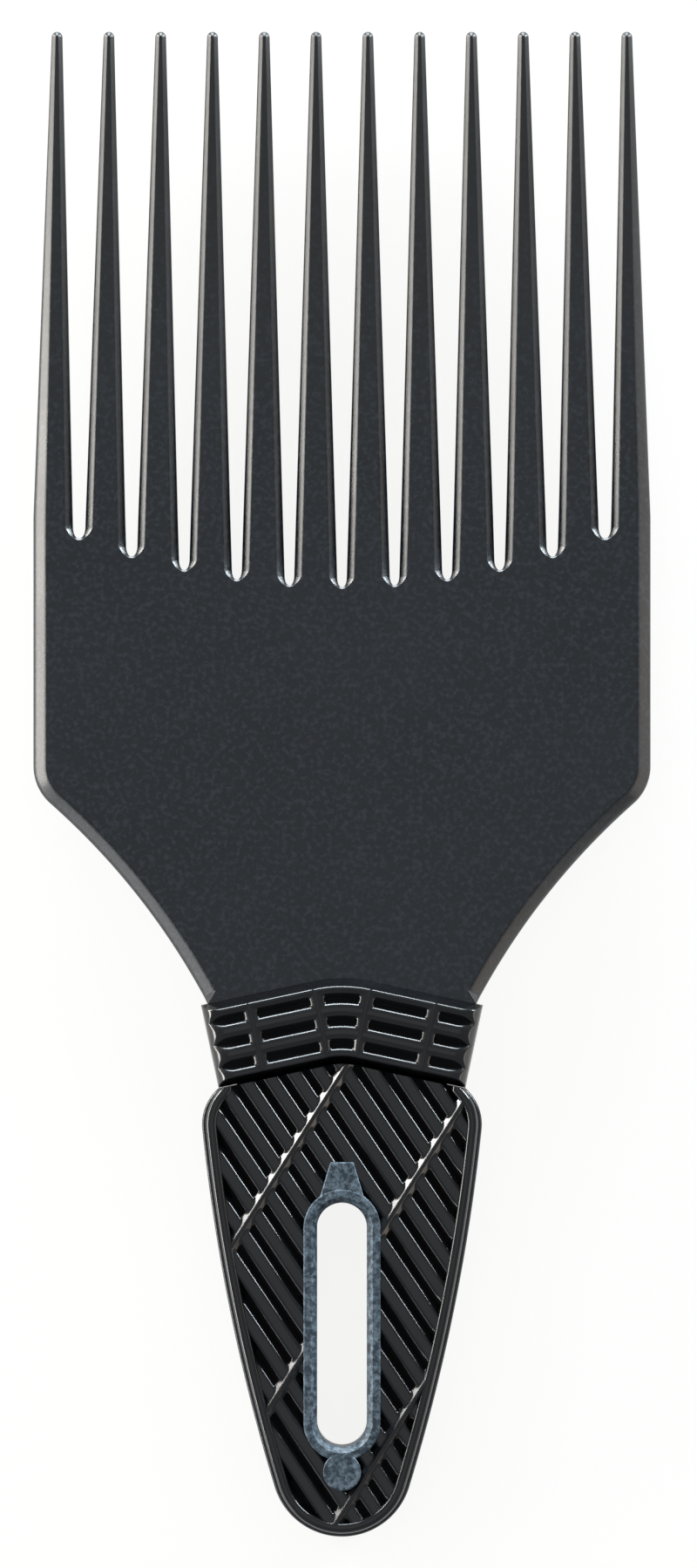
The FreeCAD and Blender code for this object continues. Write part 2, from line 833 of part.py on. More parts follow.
def make_grip_blank():
    """A grip before its flutes: bevelled rim, seat and holes for the slot's eyelet."""
    body = new_body("grip_body")
    outline = body_sketch(body, "XY_Plane", "grip_outline", handle_outline(size["grip_ledge"]), tang_face)
    plate = pad(body, outline, "grip_pad", size["grip_thickness"])

    def on_rim(middle):
        return abs(middle.z - grip_face.number) < ROUNDING and below_collar(middle)

    chamfer(body, plate, "grip_edge", size["grip_edge_bevel"], on_rim)
    below = tang_face - overrun
    through = size["grip_thickness"] + overrun * 2
    tools = [
        frame_prism("grip_frame_seat", clearance, frame_seat, size["frame_thickness"] + overrun),
        prism("grip_slot", oblong(tube_width + clearance * 2), below, through),
        cylinder("grip_disc_hole", disc_hole, ZERO, size["disc_along"], below, through),
    ]
    return cut("grip_blank", body, join("grip_openings", tools))


def make_flute_pits():
    """Slanting V flutes between flat ribs, parted by cross veins, inside the rim and round the frame."""
    depth = size["flute_depth"]
    pitch = size["flute_pitch"]
    crest = size["flute_crest"] / 2
    rise = size["flute_crest"] * depth / pitch / 2
    reach = size["handle_width"] + size["collar_apex_along"]
    steep = size["flute_angle"].number
    across = math.sin(math.radians(steep)) * size["handle_width"].number / 2
    lean = math.cos(math.radians(steep))
    above = lean * (size["collar_apex_along"] - size["slot_centre_along"]).number
    beneath = lean * size["slot_centre_along"].number
    first = -math.ceil((across + beneath) / pitch.number)
    last = math.ceil((across + above) / pitch.number)
    grooves = []
    for index in range(first, last):
        start = size["flute_phase"] + pitch * index
        name = f"flute_{index - first}"
        edges = (start + crest, start + pitch - crest)
        valley = start + pitch / 2
        flute = sunk_wedge(name, depth, rise, edges, (valley, valley), (-reach, reach))
        place(flute, y=size["slot_centre_along"], z=grip_face, rotation=laid(90 - steep))
        grooves.append(flute)
    veins = []
    count = int(size["vein_count"].number)
    for index in range(count):
        middle = size["vein_phase"] + size["vein_pitch"] * (index - (count - 1) / 2)
        vein = bar_wedge(
            f"vein_{index}", middle, size["vein_crest"], size["vein_run"], depth, rise, (-reach, reach)
        )
        place(vein, y=size["slot_centre_along"], z=grip_face, rotation=laid(size["vein_angle"].number - 90))
        veins.append(vein)
    floor = grip_face - depth - overrun
    height = depth + overrun * 2
    field = cut(
        "fluted_field",
        prism("field_plate", handle_outline(size["rim_width"]), floor, height),
        frame_prism("field_frame", clearance + size["frame_border"], floor - overrun, height + overrun * 2),
    )
    parted = cut("parted_flutes", group("flutes", grooves), join("veins", veins))
    return common("flute_pits", parted, field)


# Hanging slot eyelet

def make_frame_body(name, tube_bottom):
    """A slot frame with its disc, land and tube, pierced by the slot."""
    body = new_body(f"{name}_body")
    thickness = size["frame_thickness"]
    top = size["land_top_width"] / 2
    base = size["land_base_width"] / 2
    land = both_sides([Corner(top, size["land_top_along"]), Corner(base, size["land_base_along"])])
    frame = body_sketch(body, "XY_Plane", f"{name}_frame_outline", oblong(frame_outer_width), frame_seat)
    pad(body, frame, f"{name}_frame", thickness)
    point = body_sketch(body, "XY_Plane", f"{name}_land_outline", land, frame_seat)
    pad(body, point, f"{name}_land", thickness)
    circle = body_sketch(body, "XY_Plane", f"{name}_disc_outline", [], frame_seat)
    centre = FreeCAD.Vector(0, size["disc_along"].number, 0)
    round_line = Part.Circle(centre, FreeCAD.Vector(0, 0, 1), size["disc_diameter"].number / 2)
    index = circle.addGeometry(round_line)
    pin(circle, index, 3, ZERO, size["disc_along"])
    constrain(circle, size["disc_diameter"] / 2, "Radius", index)
    plate = pad(body, circle, f"{name}_disc", thickness)

    def on_face(middle):
        return abs(middle.z - frame_face.number) < ROUNDING

    chamfer(body, plate, f"{name}_edge", size["frame_edge_bevel"], on_face)
    tube = body_sketch(body, "XY_Plane", f"{name}_tube_outline", oblong(tube_width), tube_bottom)
    pad(body, tube, f"{name}_tube", frame_seat - tube_bottom)
    slot = body_sketch(body, "XY_Plane", f"{name}_slot_outline", oblong(size["slot_width"]), frame_face)
    pocket = body.newObject("PartDesign::Pocket", f"{name}_slot")
    pocket.Profile = slot
    pocket.Type = "ThroughAll"
    doc.recompute()

    def on_lip(middle):
        beyond = abs(middle.y - size["slot_centre_along"].number) - slot_run.number
        from_middle_line = math.hypot(middle.x, max(beyond, 0))
        return on_face(middle) and from_middle_line < (tube_width / 2).number

    chamfer(body, pocket, f"{name}_lip", size["slot_lip_bevel"], on_lip)
    return body


def make_slot_eyelet():
    """The front half of the eyelet: frame, tube through the tang, and a stem under the disc."""
    body = make_frame_body("eyelet", -tang_face)
    low = clearance - frame_seat - size["disc_socket_depth"]
    width = size["disc_stem_diameter"]
    stem = cylinder("disc_stem", width, ZERO, size["disc_along"], low, frame_seat + clearance - low)
    return join("slot_eyelet", [body, stem])


def make_slot_ring():
    """The rear half of the eyelet: frame, short tube, and a socket for the stem's end."""
    body = make_frame_body("ring", tang_face + clearance)
    depth = size["disc_socket_depth"] + overrun
    socket = cylinder("ring_socket", disc_hole, ZERO, size["disc_along"], frame_seat - overrun, depth)
    return cut("slot_ring", body, socket)


# The whole comb

def make_comb_blade():
    gaps = [make_gap(index) for index in range(gap_count)]
    toothed = cut("toothed_blade", make_blade_plate(), group("gaps", gaps))
    return join("comb_blade", [toothed, make_tang()])


def make_pieces():
    """Every piece of the comb, front pieces first, with whether it is turned to the rear."""
    collar_blank = make_collar_blank()
    collar_pits = make_collar_pits()
    grip_blank = make_grip_blank()
    flute_pits = make_flute_pits()
    return [
        (make_comb_blade(), False),
        (cut("front_collar", collar_blank, collar_pits), False),
        (cut("rear_collar", collar_blank, collar_pits), True),
        (cut("front_grip", grip_blank, flute_pits), False),
        (cut("rear_grip", grip_blank, flute_pits), True),
        (make_slot_eyelet(), False),
        (make_slot_ring(), True),
    ]


def check(pieces):
    """Stop if a feature failed to recompute or a piece is not one valid solid."""
    for feature in doc.Objects:
        if "Invalid" in feature.State or "Error" in feature.State:
            raise RuntimeError(f"{feature.Label} did not recompute: {feature.State}")
    for piece in pieces:
        if piece.Shape.isNull() or not piece.Shape.isValid() or len(piece.Shape.Solids) != 1:
            raise RuntimeError(f"{piece.Label} is not one valid solid")


def main():
    pieces = []
    rear_turn = FreeCAD.Rotation(FreeCAD.Vector(0, 1, 0), 180)
    for piece, at_rear in make_pieces():
        turn = rear_turn if at_rear else None
        pieces.append(place(piece, y=-(size["overall_length"] / 2), z=collar_face, rotation=turn))
    doc.recompute()
    check(pieces)
    os.makedirs("parts", exist_ok=True)
    for piece in pieces:
        piece.Shape.exportStep(f"parts/{piece.Label}.step")
        print(piece.Label, round(piece.Shape.Volume, 1))


main()
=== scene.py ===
"""Pick comb with a lattice collar and fluted grips: fine shape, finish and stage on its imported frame."""

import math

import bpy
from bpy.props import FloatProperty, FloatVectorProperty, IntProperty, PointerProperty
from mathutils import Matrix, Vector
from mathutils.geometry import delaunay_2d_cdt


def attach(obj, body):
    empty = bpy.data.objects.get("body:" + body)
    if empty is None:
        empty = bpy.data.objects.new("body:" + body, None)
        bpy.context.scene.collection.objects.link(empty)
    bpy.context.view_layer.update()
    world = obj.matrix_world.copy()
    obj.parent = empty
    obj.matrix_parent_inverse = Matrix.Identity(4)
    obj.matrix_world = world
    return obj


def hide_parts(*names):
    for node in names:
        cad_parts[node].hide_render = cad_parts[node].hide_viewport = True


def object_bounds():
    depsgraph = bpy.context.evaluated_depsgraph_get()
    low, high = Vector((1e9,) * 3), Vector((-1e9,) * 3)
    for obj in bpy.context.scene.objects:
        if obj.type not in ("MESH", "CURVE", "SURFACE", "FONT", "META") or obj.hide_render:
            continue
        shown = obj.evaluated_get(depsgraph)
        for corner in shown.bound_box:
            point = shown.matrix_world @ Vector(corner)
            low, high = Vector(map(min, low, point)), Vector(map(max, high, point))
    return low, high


bl_info = {
    "name": "Pick Comb",
    "version": (1, 0, 0),
    "blender": (4, 5, 0),
    "location": "View3D > Sidebar > Pick Comb",
    "description": "Builds a pick comb with a lattice collar and fluted grips",
    "category": "Add Mesh",
}

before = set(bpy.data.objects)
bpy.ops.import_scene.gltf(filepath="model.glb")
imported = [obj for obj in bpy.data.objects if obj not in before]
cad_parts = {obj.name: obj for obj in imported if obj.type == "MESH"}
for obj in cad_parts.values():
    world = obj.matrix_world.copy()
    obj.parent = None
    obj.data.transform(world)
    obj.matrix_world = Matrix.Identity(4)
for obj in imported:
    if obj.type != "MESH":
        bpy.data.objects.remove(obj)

MM = 0.001
CAD_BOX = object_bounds()
MIDDLE = (CAD_BOX[0].z + CAD_BOX[1].z) / 2
HANDLE_END = CAD_BOX[0].y
TIP_END = CAD_BOX[1].y
BODY = "root"
TURNED_OVER = Matrix.Rotation(math.pi, 4, "Y")


# Settings that a user would change

def length(name, description, millimetres):
    return FloatProperty(name=name, description=description, default=millimetres * MM, unit="LENGTH")


def angle(name, description, degrees):
    return FloatProperty(name=name, description=description, default=math.radians(degrees), subtype="ANGLE")


def colour(name, description, red, green, blue):
    return FloatVectorProperty(
        name=name, description=description, default=(red, green, blue), subtype="COLOR", min=0, max=1
    )


def power(name, description, watts):
    return FloatProperty(name=name, description=description, default=watts, unit="POWER")


class BladeSizes(bpy.types.PropertyGroup):
    """Blade, teeth and tang."""

    width: length("Width", "Across the two outer teeth at their roots", 71.8)
    thickness: length("Thickness", "Of the flat blade", 4.0)
    edge_round: length("Edge round", "Of the blade's outer edge", 1.6)
    shoulder_along: length("Shoulder place", "From the handle's end to the shoulder", 86.9)
    shoulder_round: length("Shoulder round", "Radius of the shoulder's corner", 5.8)
    sweep_radius: length("Sweep radius", "Of the hollow side between neck and shoulder", 82.5)
    neck_width: length("Neck width", "Where the blade meets the collar", 31.2)
    teeth: IntProperty(name="Teeth", description="Number of teeth", default=12, min=4)
    outer_tooth: length("Outer tooth", "Width of an outer tooth at its root", 4.78)
    tip_span: length("Tip span", "Between the middles of the two outer tips", 66.3)
    tip_width: length("Tip width", "Of a tooth at its tip", 1.26)
    tip_thickness: length("Tip thickness", "Of a tooth at its tip", 1.3)
    tip_round: length("Tip round", "Edge round of a tooth at its tip", 0.5)
    flank_round: length("Flank round", "Edge round of a tooth at its root", 0.95)
    gap_width: length("Gap width", "Of a gap at its root", 1.1)
    gap_along: length("Gap place", "From the handle's end to the middle gap's root", 111.45)
    gap_arc: length("Gap arc", "Radius of the arc that the roots lie on", 82.9)
    taper_lead: length("Taper lead", "From the outer roots to where the teeth start to thin", 1.2)
    tang_thickness: length("Tang thickness", "Of the plate between the grips", 3.0)
    tang_round: length("Tang round", "Edge round of the tang", 0.35)
    core_width: length("Core width", "Of the neck inside the collar", 24.4)
    core_lap: length("Core lap", "How far the neck runs into blade and tang", 2.5)


class HandleSizes(bpy.types.PropertyGroup):
    """Handle outline and grips."""

    width: length("Width", "At the widest place", 32.5)
    shoulder_step: length("Shoulder step", "How far the sides swell below the collar", 1.85)
    shoulder_height: length("Shoulder height", "From the collar to the widest place", 4.8)
    side_radius: length("Side radius", "Of the long sides", 220.0)
    end_radius: length("End radius", "Of the round end", 8.2)
    ledge: length("Ledge", "Width of tang that shows round a grip", 0.5)
    thickness: length("Grip thickness", "From the tang to the rim's crown", 2.6)
    rim_width: length("Rim width", "Of the bead round a grip", 1.25)
    rim_round: length("Rim round", "Edge round of the bead", 0.55)
    flute_angle: angle("Flute angle", "Of the flutes from the handle's width", 56.0)
    flute_pitch: length("Flute pitch", "From flute to flute", 2.56)
    flute_phase: length("Flute phase", "First groove from the slot's centre", 0.2)
    flute_depth: length("Flute depth", "Of the grooves", 1.15)
    rib_width: length("Rib width", "Of the flat tops between the grooves", 0.92)
    rib_round: length("Rib round", "Softness of the ribs' edges", 0.3)
    vein_angle: angle("Vein angle", "Of the cross veins from the handle's width", 57.5)
    vein_count: IntProperty(name="Veins", description="Number of cross veins", default=3, min=1)
    vein_pitch: length("Vein pitch", "From vein to vein", 13.75)
    vein_phase: length("Vein phase", "Middle vein from the slot's centre", -2.0)
    vein_width: length("Vein width", "Of a vein's crest", 0.14)
    vein_proud: length("Vein proud", "How far a vein stands over the ribs", 0.3)
    vein_round: length("Vein round", "Of a vein's edges", 0.08)
    vein_shoulder: length("Vein shoulder", "Width of the slope on each side of a vein's crest", 0.75)
    vein_run: length("Vein run", "How far a vein's side spreads below its slope", 0.3)


class CollarSizes(bpy.types.PropertyGroup):
    """Lattice collar."""

    apex_along: length("Apex place", "From the handle's end to the collar's upper apex", 64.9)
    thickness: length("Thickness", "Of both halves together", 9.2)
    width: length("Width", "Across the band", 9.8)
    arm: length("Arm", "From the bend to the band's end", 13.25)
    angle: angle("Chevron angle", "How far the arms slope", 12.0)
    radius: length("Bend radius", "Of the band's upper edge", 16.5)
    bevel_run: length("Bevel run", "Of the slope at the upper and lower edge", 0.95)
    side_round: length("Side round", "Of the band's ends", 2.6)
    rows: IntProperty(name="Rows", description="Rows of pits", default=3, min=1)
    row_crest: length("Row crest", "Width of the ridges between the rows", 0.5)
    pit_depth: length("Pit depth", "Of the pits", 1.05)
    pit_round: length("Pit round", "Softness of the pits' edges", 0.26)
    bevel_round: length("Bevel round", "Softness of the outer bevels' edges", 0.5)
    bar_spacing: length("Bar spacing", "From the inner to the outer bars", 7.75)
    bar_crest: length("Bar crest", "Width of a bar's top", 0.16)
    bar_proud: length("Bar proud", "How far a bar stands over the rows' ridges", 0.12)
    bar_round: length("Bar round", "Of a bar's edges", 0.06)
    bar_shoulder: length("Bar shoulder", "Width of the slope on each side of a bar's top", 0.7)
    bar_run: length("Bar run", "How far a bar's side spreads below its slope", 0.3)
    lug_length: length("Lug length", "Of the hidden locking lug", 3.0)
    lug_width: length("Lug width", "Of the hidden locking lug", 2.0)
    lug_reach: length("Lug reach", "Past the tang's far face", 1.3)
    lug_place: length("Lug place", "From the bend to the lug's middle", 4.64)
    clearance: length("Clearance", "Round the neck and the lugs", 0.1)


class SlotSizes(bpy.types.PropertyGroup):
    """Hanging slot and its eyelet."""

    width: length("Slot width", "Clear width", 5.8)
    length: length("Slot length", "Clear length over the round ends", 28.4)
    centre_along: length("Slot place", "From the handle's end to the slot's centre", 24.7)
    lip_width: length("Lip width", "Of the slot's sloping lip", 0.66)
    lip_depth: length("Lip depth", "Of the slot's sloping lip", 0.8)
    wall: length("Wall", "Of the tube that lines the slot", 0.8)
    frame_width: length("Frame width", "Of the flat frame", 1.56)
    frame_thickness: length("Frame thickness", "From its seat to its face", 1.15)
    frame_proud: length("Frame proud", "How far the frame stands over the ribs", 0.25)
    frame_round: length("Frame round", "Edge round of the frame", 0.16)
    disc_along: length("Disc place", "From the handle's end to the disc", 7.68)
    disc_diameter: length("Disc diameter", "Of the round disc", 4.4)
    disc_rise: length("Disc rise", "How far the disc stands over the frame", 0.12)
    stem_diameter: length("Stem diameter", "Of the stem under the disc", 2.2)
    socket_depth: length("Socket depth", "Of the stem's socket in the rear frame", 0.7)
    land_top: length("Land top", "From the handle's end to the land's upper edge", 43.6)
    land_base: length("Land base", "From the handle's end to the land's lower edge", 39.4)
    land_top_width: length("Land top width", "At its upper edge", 2.7)
    land_base_width: length("Land base width", "At its lower edge", 5.2)


class FinishColours(bpy.types.PropertyGroup):
    """Colours of the three plastics."""

    blade: colour("Blade", "Satin blue-black of the blade", 0.0036, 0.0050, 0.0070)
    # Painted shade: the teeth's colour turns darker and warmer towards their tips, where less light falls,
    # and the bloom fades there
    blade_tip_shade: colour("Blade tip", "Teeth rubbed clean towards their tips", 0.0050, 0.0045, 0.0042)
    blade_dust: colour("Blade dust", "Paler bloom on the satin blade", 0.0230, 0.0290, 0.0380)
    grip: colour("Grip", "Gloss black of the grips and the collar", 0.0045, 0.0047, 0.0055)
    grip_wear: colour("Grip wear", "Rubbed crests of the gloss pieces", 0.012, 0.0135, 0.016)
    slot: colour("Slot frame", "Satin blue-grey of the eyelet", 0.033, 0.052, 0.070)
    slot_dust: colour("Slot dust", "Paler bloom on the eyelet", 0.215, 0.285, 0.345)
    floor: colour("Floor", "Pale floor, without its lift", 0.22, 0.22, 0.215)


class StageSetup(bpy.types.PropertyGroup):
    """Camera and light."""

    view_height: length("View height", "Height of the picture on the comb's middle plane", 182.4)
    view_shift: length("View shift", "How far the picture's middle lies right of the comb's", 0.76)
    focal_length: length("Focal length", "Of the camera", 300.0)
    key_power: power("Key", "Power of the left light", 3.8)
    lower_power: power("Lower", "Power of the lower left light", 0.42)
    upper_power: power("Upper", "Power of the upper left light", 3.4)
    fill_power: power("Fill", "Power of the upper right light", 4.6)
    top_power: power("Far", "Power of the light beyond the tips", 7.0)
    low_power: power("Low", "Power of the lower right light", 0.45)
    overhead_power: power("Overhead", "Power of the light above the camera", 0.5)
    world_light: FloatProperty(name="World", description="Strength of the room's light", default=0.30)


# Plan outlines: right halves are listed upwards, from axis to axis

END_STEPS = 28
SIDE_STEPS = 30
SHOULDER_STEPS = 10
SWEEP_STEPS = 30
CORNER_STEPS = 16
CIRCLE_STEPS = 64


def place(along):
    """The Y of a place given from the handle's end."""
    return HANDLE_END + along


def blend(start, stop, share):
    return start + (stop - start) * share


def arc(centre, radius, start, stop, steps):
    """Points on an arc, both ends included."""
    turns = [blend(start, stop, step / steps) for step in range(steps + 1)]
    return [(centre[0] + radius * math.cos(turn), centre[1] + radius * math.sin(turn)) for turn in turns]


def bearing(centre, point):
    return math.atan2(point[1] - centre[1], point[0] - centre[0])


def whole_loop(half):
    """A closed loop, anticlockwise, from its right half."""
    return half + [(-point[0], *point[1:]) for point in reversed(half[1:-1])]


def outward_normals(points):
    """Unit normals of a closed anticlockwise loop."""
    normals = []
    for index, point in enumerate(points):
        before = Vector(point[:2]) - Vector(points[index - 1][:2])
        after = Vector(points[(index + 1) % len(points)][:2]) - Vector(point[:2])
        direction = before.normalized() + after.normalized()
        normals.append(Vector((direction.y, -direction.x)).normalized())
    return normals


def inset_loop(points, amounts):
    """A loop drawn in along its normals, by an amount for each point."""
    normals = outward_normals(points)
    return [
        (point[0] - normal.x * amount, point[1] - normal.y * amount)
        for point, normal, amount in zip(points, normals, amounts)
    ]


class Chevron:
    """The collar's bent band: places by radius from the bend's centre and by run from the middle."""

    def __init__(self, sizes):
        self.outer = sizes.radius
        self.inner = sizes.radius - sizes.width
        self.middle = (self.outer + self.inner) / 2
        self.centre = (0.0, place(sizes.apex_along) - sizes.radius)
        self.angle = sizes.angle
        self.bend = self.middle * sizes.angle
        self.end = self.bend + sizes.arm

    def point(self, radius, run):
        """A place on the band; the run is measured along its middle line."""
        turn = max(-self.angle, min(self.angle, run / self.middle))
        beyond = max(abs(run) - self.bend, 0.0)
        x = radius * math.sin(turn) + math.copysign(beyond * math.cos(self.angle), run)
        return x, self.centre[1] + radius * math.cos(turn) - beyond * math.sin(self.angle)

    def run_at(self, radius, x):
        """The run where a line of that radius reaches x, out on an arm."""
        return self.bend + (x - radius * math.sin(self.angle)) / math.cos(self.angle)

    def half_line(self, radius, x, steps=12):
        """The line of one radius, from the axis out to x."""
        runs = [self.bend * step / steps for step in range(steps + 1)]
        return [self.point(radius, run) for run in runs + [self.run_at(radius, x)]]


def handle_half(sizes, chevron, inset, top_radius):
    """Right half of the handle's outline, drawn in by an inset, up to a line of the chevron."""
    half = sizes.width / 2 - inset
    collar_x = sizes.width / 2 - sizes.shoulder_step
    collar_corner = chevron.point(chevron.inner, chevron.run_at(chevron.inner, collar_x))
    top_x = half - sizes.shoulder_step
    meet = min(top_radius, chevron.inner)
    top = Vector(chevron.point(meet, chevron.run_at(meet, top_x)))
    widest = Vector((half, collar_corner[1] - sizes.shoulder_height))
    end_centre = Vector((0.0, place(sizes.end_radius)))
    end = sizes.end_radius - inset
    side = sizes.side_radius - inset
    line = end_centre - widest
    reach = (side ** 2 - (side - end) ** 2 + line.length_squared) / (2 * line.length)
    across = math.sqrt(side ** 2 - reach ** 2)
    direction = line.normalized()
    side_centre = widest + direction * reach + Vector((direction.y, -direction.x)) * across
    touch = end_centre + (end_centre - side_centre).normalized() * end
    outward = (widest - side_centre).normalized()
    chord = top - widest
    shoulder = chord.length_squared / (-2 * chord.dot(outward))
    shoulder_centre = widest - outward * shoulder
    points = arc(end_centre, end, -math.pi / 2, bearing(end_centre, touch), END_STEPS)
    side_turns = bearing(side_centre, touch), bearing(side_centre, widest)
    points += arc(side_centre, side, *side_turns, SIDE_STEPS)[1:]
    shoulder_turns = bearing(shoulder_centre, widest), bearing(shoulder_centre, top)
    points += arc(shoulder_centre, shoulder, *shoulder_turns, SHOULDER_STEPS)[1:]
    upper = list(reversed(chevron.half_line(top_radius, top_x)))
    return points + (upper if top_radius > meet else upper[1:])


def oblong(sizes, radius, steps=24):
    """A slot outline of that half width round the slot's two end centres."""
    run = (sizes.length - sizes.width) / 2
    middle = place(sizes.centre_along)
    upper = arc((0.0, middle + run), radius, 0.0, math.pi, steps)
    lower = arc((0.0, middle - run), radius, math.pi, math.pi * 2, steps)
    return upper + lower


# Mesh building

# HOLD is a hair's breadth: it keeps faces apart that would else lie in one plane
HOLD = 0.05 * MM
EDGE_STEPS = 6
EDGE_TURNS = [math.pi / 2 * step / EDGE_STEPS for step in range(EDGE_STEPS + 1)]

# Edge profiles: how far in from the outline and how far below the face, as shares of the edge's size
ROUND_EDGE = [(1 - math.cos(turn), 1 - math.sin(turn)) for turn in EDGE_TURNS]
SLOPED_EDGE = [
    (0.0, 1.0), (0.04, 0.86), (0.12, 0.74), (0.25, 0.61),
    (0.50, 0.40), (0.75, 0.18), (0.90, 0.06), (1.0, 0.0),
]

# What the triangle filler takes: keep what lies inside the loop, and join points nearer than this
FILL_INSIDE = 1
FILL_NEAR = 1e-9


class Shell:
    """Vertices and faces of a closed surface, built ring by ring."""

    def __init__(self):
        self.vertices = []
        self.faces = []

    def ring(self, points, heights):
        first = len(self.vertices)
        self.vertices += [(point[0], point[1], height) for point, height in zip(points, heights)]
        return range(first, len(self.vertices))

    def bridge(self, lower, upper):
        for index in range(len(lower)):
            after = (index + 1) % len(lower)
            self.faces.append((lower[index], lower[after], upper[after], upper[index]))

    def cap(self, ring, upward, seams=()):
        """Fill a ring flat, with extra edges along the seams."""
        flat = [Vector(self.vertices[index][:2]) for index in ring]
        count = len(flat)
        edges = [(index, (index + 1) % count) for index in range(count)] + list(seams)
        loops = [list(range(count))]
        filled = delaunay_2d_cdt(flat, edges, loops, FILL_INSIDE, FILL_NEAR)
        triangles = filled[2]
        origins = filled[3]
        for triangle in triangles:
            corners = [ring[origins[corner][0]] for corner in triangle]
            self.faces.append(tuple(corners if upward else reversed(corners)))

    def stack(self, rings, closed=False):
        for lower, upper in zip(rings, rings[1:]):
            self.bridge(lower, upper)
        if closed:
            self.bridge(rings[-1], rings[0])


def slab(points, rounds, top, bottom, edge=ROUND_EDGE, round_bottom=True, seams=()):
    """A plate on a plan loop with soft edges; its two faces are functions of the place along."""
    shell = Shell()
    rings = []

    def add(spread, drop, face, sign, hold=0.0):
        loop = inset_loop(points, [size * spread + hold for size in rounds])
        rings.append(shell.ring(loop, [face(y) - sign * size * drop for (_, y), size in zip(loop, rounds)]))

    if round_bottom:
        add(1, 0, bottom, -1, HOLD)
        for spread, drop in reversed(edge):
            add(spread, drop, bottom, -1)
    else:
        add(0, 0, bottom, -1)
    for spread, drop in edge:
        add(spread, drop, top, 1)
    add(1, 0, top, 1, HOLD)
    shell.stack(rings)
    shell.cap(rings[0], False, seams)
    shell.cap(rings[-1], True, seams)
    return shell


def level(height):
    """A flat face for a slab."""
    return lambda y: height


def prism(points, bottom, top):
    """An upright solid on a plan loop, with sharp edges."""
    shell = Shell()
    lower = shell.ring(points, [bottom] * len(points))
    upper = shell.ring(points, [top] * len(points))
    shell.bridge(lower, upper)
    shell.cap(lower, False)
    shell.cap(upper, True)
    return shell


def block(middle, across, along, bottom, top):
    """An upright box round a middle point, from its half sizes across and along."""
    turns = [(-1, -1), (1, -1), (1, 1), (-1, 1)]
    corners = [(middle[0] + across * x, middle[1] + along * y) for x, y in turns]
    return prism(corners, bottom, top)


def turned(centre, profile, steps=CIRCLE_STEPS):
    """A solid of revolution from (radius, height) pairs, listed from its base to its top."""
    shell = Shell()
    circle = arc((0.0, 0.0), 1.0, 0.0, math.pi * 2, steps)[:-1]
    rings = []
    for radius, height in profile:
        points = [(centre[0] + x * radius, centre[1] + y * radius) for x, y in circle]
        rings.append(shell.ring(points, [height] * steps))
    shell.stack(rings)
    shell.cap(rings[0], False)
    shell.cap(rings[-1], True)
    return shell


def sheet_solid(rows, floor):
    """A closed solid under a grid of surface points, down to a flat floor."""
    shell = Shell()
    across = len(rows[0])
    for row in rows:
        shell.vertices += row
    base = len(shell.vertices)
    for row in rows:
        shell.vertices += [(x, y, floor) for x, y, _ in row]
    for line in range(len(rows) - 1):
        for step in range(across - 1):
            corner = line * across + step
            quad = (corner, corner + 1, corner + across + 1, corner + across)
            shell.faces.append(quad)
            shell.faces.append(tuple(base + index for index in reversed(quad)))
    last = (len(rows) - 1) * across
    rim = list(range(across))
    rim += [line * across + across - 1 for line in range(1, len(rows))]
    rim += [last + step for step in range(across - 2, -1, -1)]
    rim += [line * across for line in range(len(rows) - 2, 0, -1)]
    for index, corner in enumerate(rim):
        after = rim[(index + 1) % len(rim)]
        shell.faces.append((base + corner, base + after, after, corner))
    return shell


def new_object(name, shell):
    mesh = bpy.data.meshes.new(name)
    mesh.from_pydata(shell.vertices, [], shell.faces)
    mesh.validate()
    made = bpy.data.objects.new(name, mesh)
    bpy.context.scene.collection.objects.link(made)
    return made


def carve(target, operation, shell):
    """Join a solid to a piece, cut it out of it, or keep only what is inside it."""
    carve_with(target, operation, new_object("carving_tool", shell))


def carve_with(target, operation, tool):
    """The same with an object for the solid, which is used up."""
    modifier = target.modifiers.new("carve", "BOOLEAN")
    modifier.operation = operation
    modifier.solver = "EXACT"
    modifier.object = tool
    before = target.data
    depsgraph = bpy.context.evaluated_depsgraph_get()
    after = bpy.data.meshes.new_from_object(target.evaluated_get(depsgraph))
    target.modifiers.clear()
    target.data = after
    bpy.data.meshes.remove(before)
    bpy.data.meshes.remove(tool.data)
    if not after.polygons:
        raise RuntimeError(f"{target.name} is empty after {operation}")


def finish_piece(piece, node, material, sharp=50.0):
    """Lift a piece to its place, shade it and tie it to the node that it stands for."""
    mesh = piece.data
    mesh.transform(Matrix.Translation((0, 0, MIDDLE)))
    mesh.materials.clear()
    mesh.materials.append(material)
    mesh.shade_smooth()
    mesh.set_sharp_from_angle(angle=math.radians(sharp))
    mesh.name = piece.name
    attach(piece, BODY)
    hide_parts(node)


def turned_copy(piece, name):
    """The same moulding, turned over about the comb's length."""
    mesh = piece.data.copy()
    mesh.transform(TURNED_OVER)
    copy = bpy.data.objects.new(name, mesh)
    bpy.context.scene.collection.objects.link(copy)
    return copy


def soft_lower(first, second, softness):
    """The lower of two heights, rounded where they cross."""
    near = max(softness - abs(first - second), 0.0) / softness
    return min(first, second) - near * near * softness / 4


def soft_upper(first, second, softness):
    return -soft_lower(-first, -second, softness)


SHOULDER_FALL = math.tan(math.radians(40.0))


def shouldered(from_crest, shoulder, steepness):
    """Depth beside a crest: a slope as wide as the shoulder, then a steep wall."""
    slope = from_crest * SHOULDER_FALL
    return max(slope, slope + (from_crest - shoulder) * steepness)


# Blade

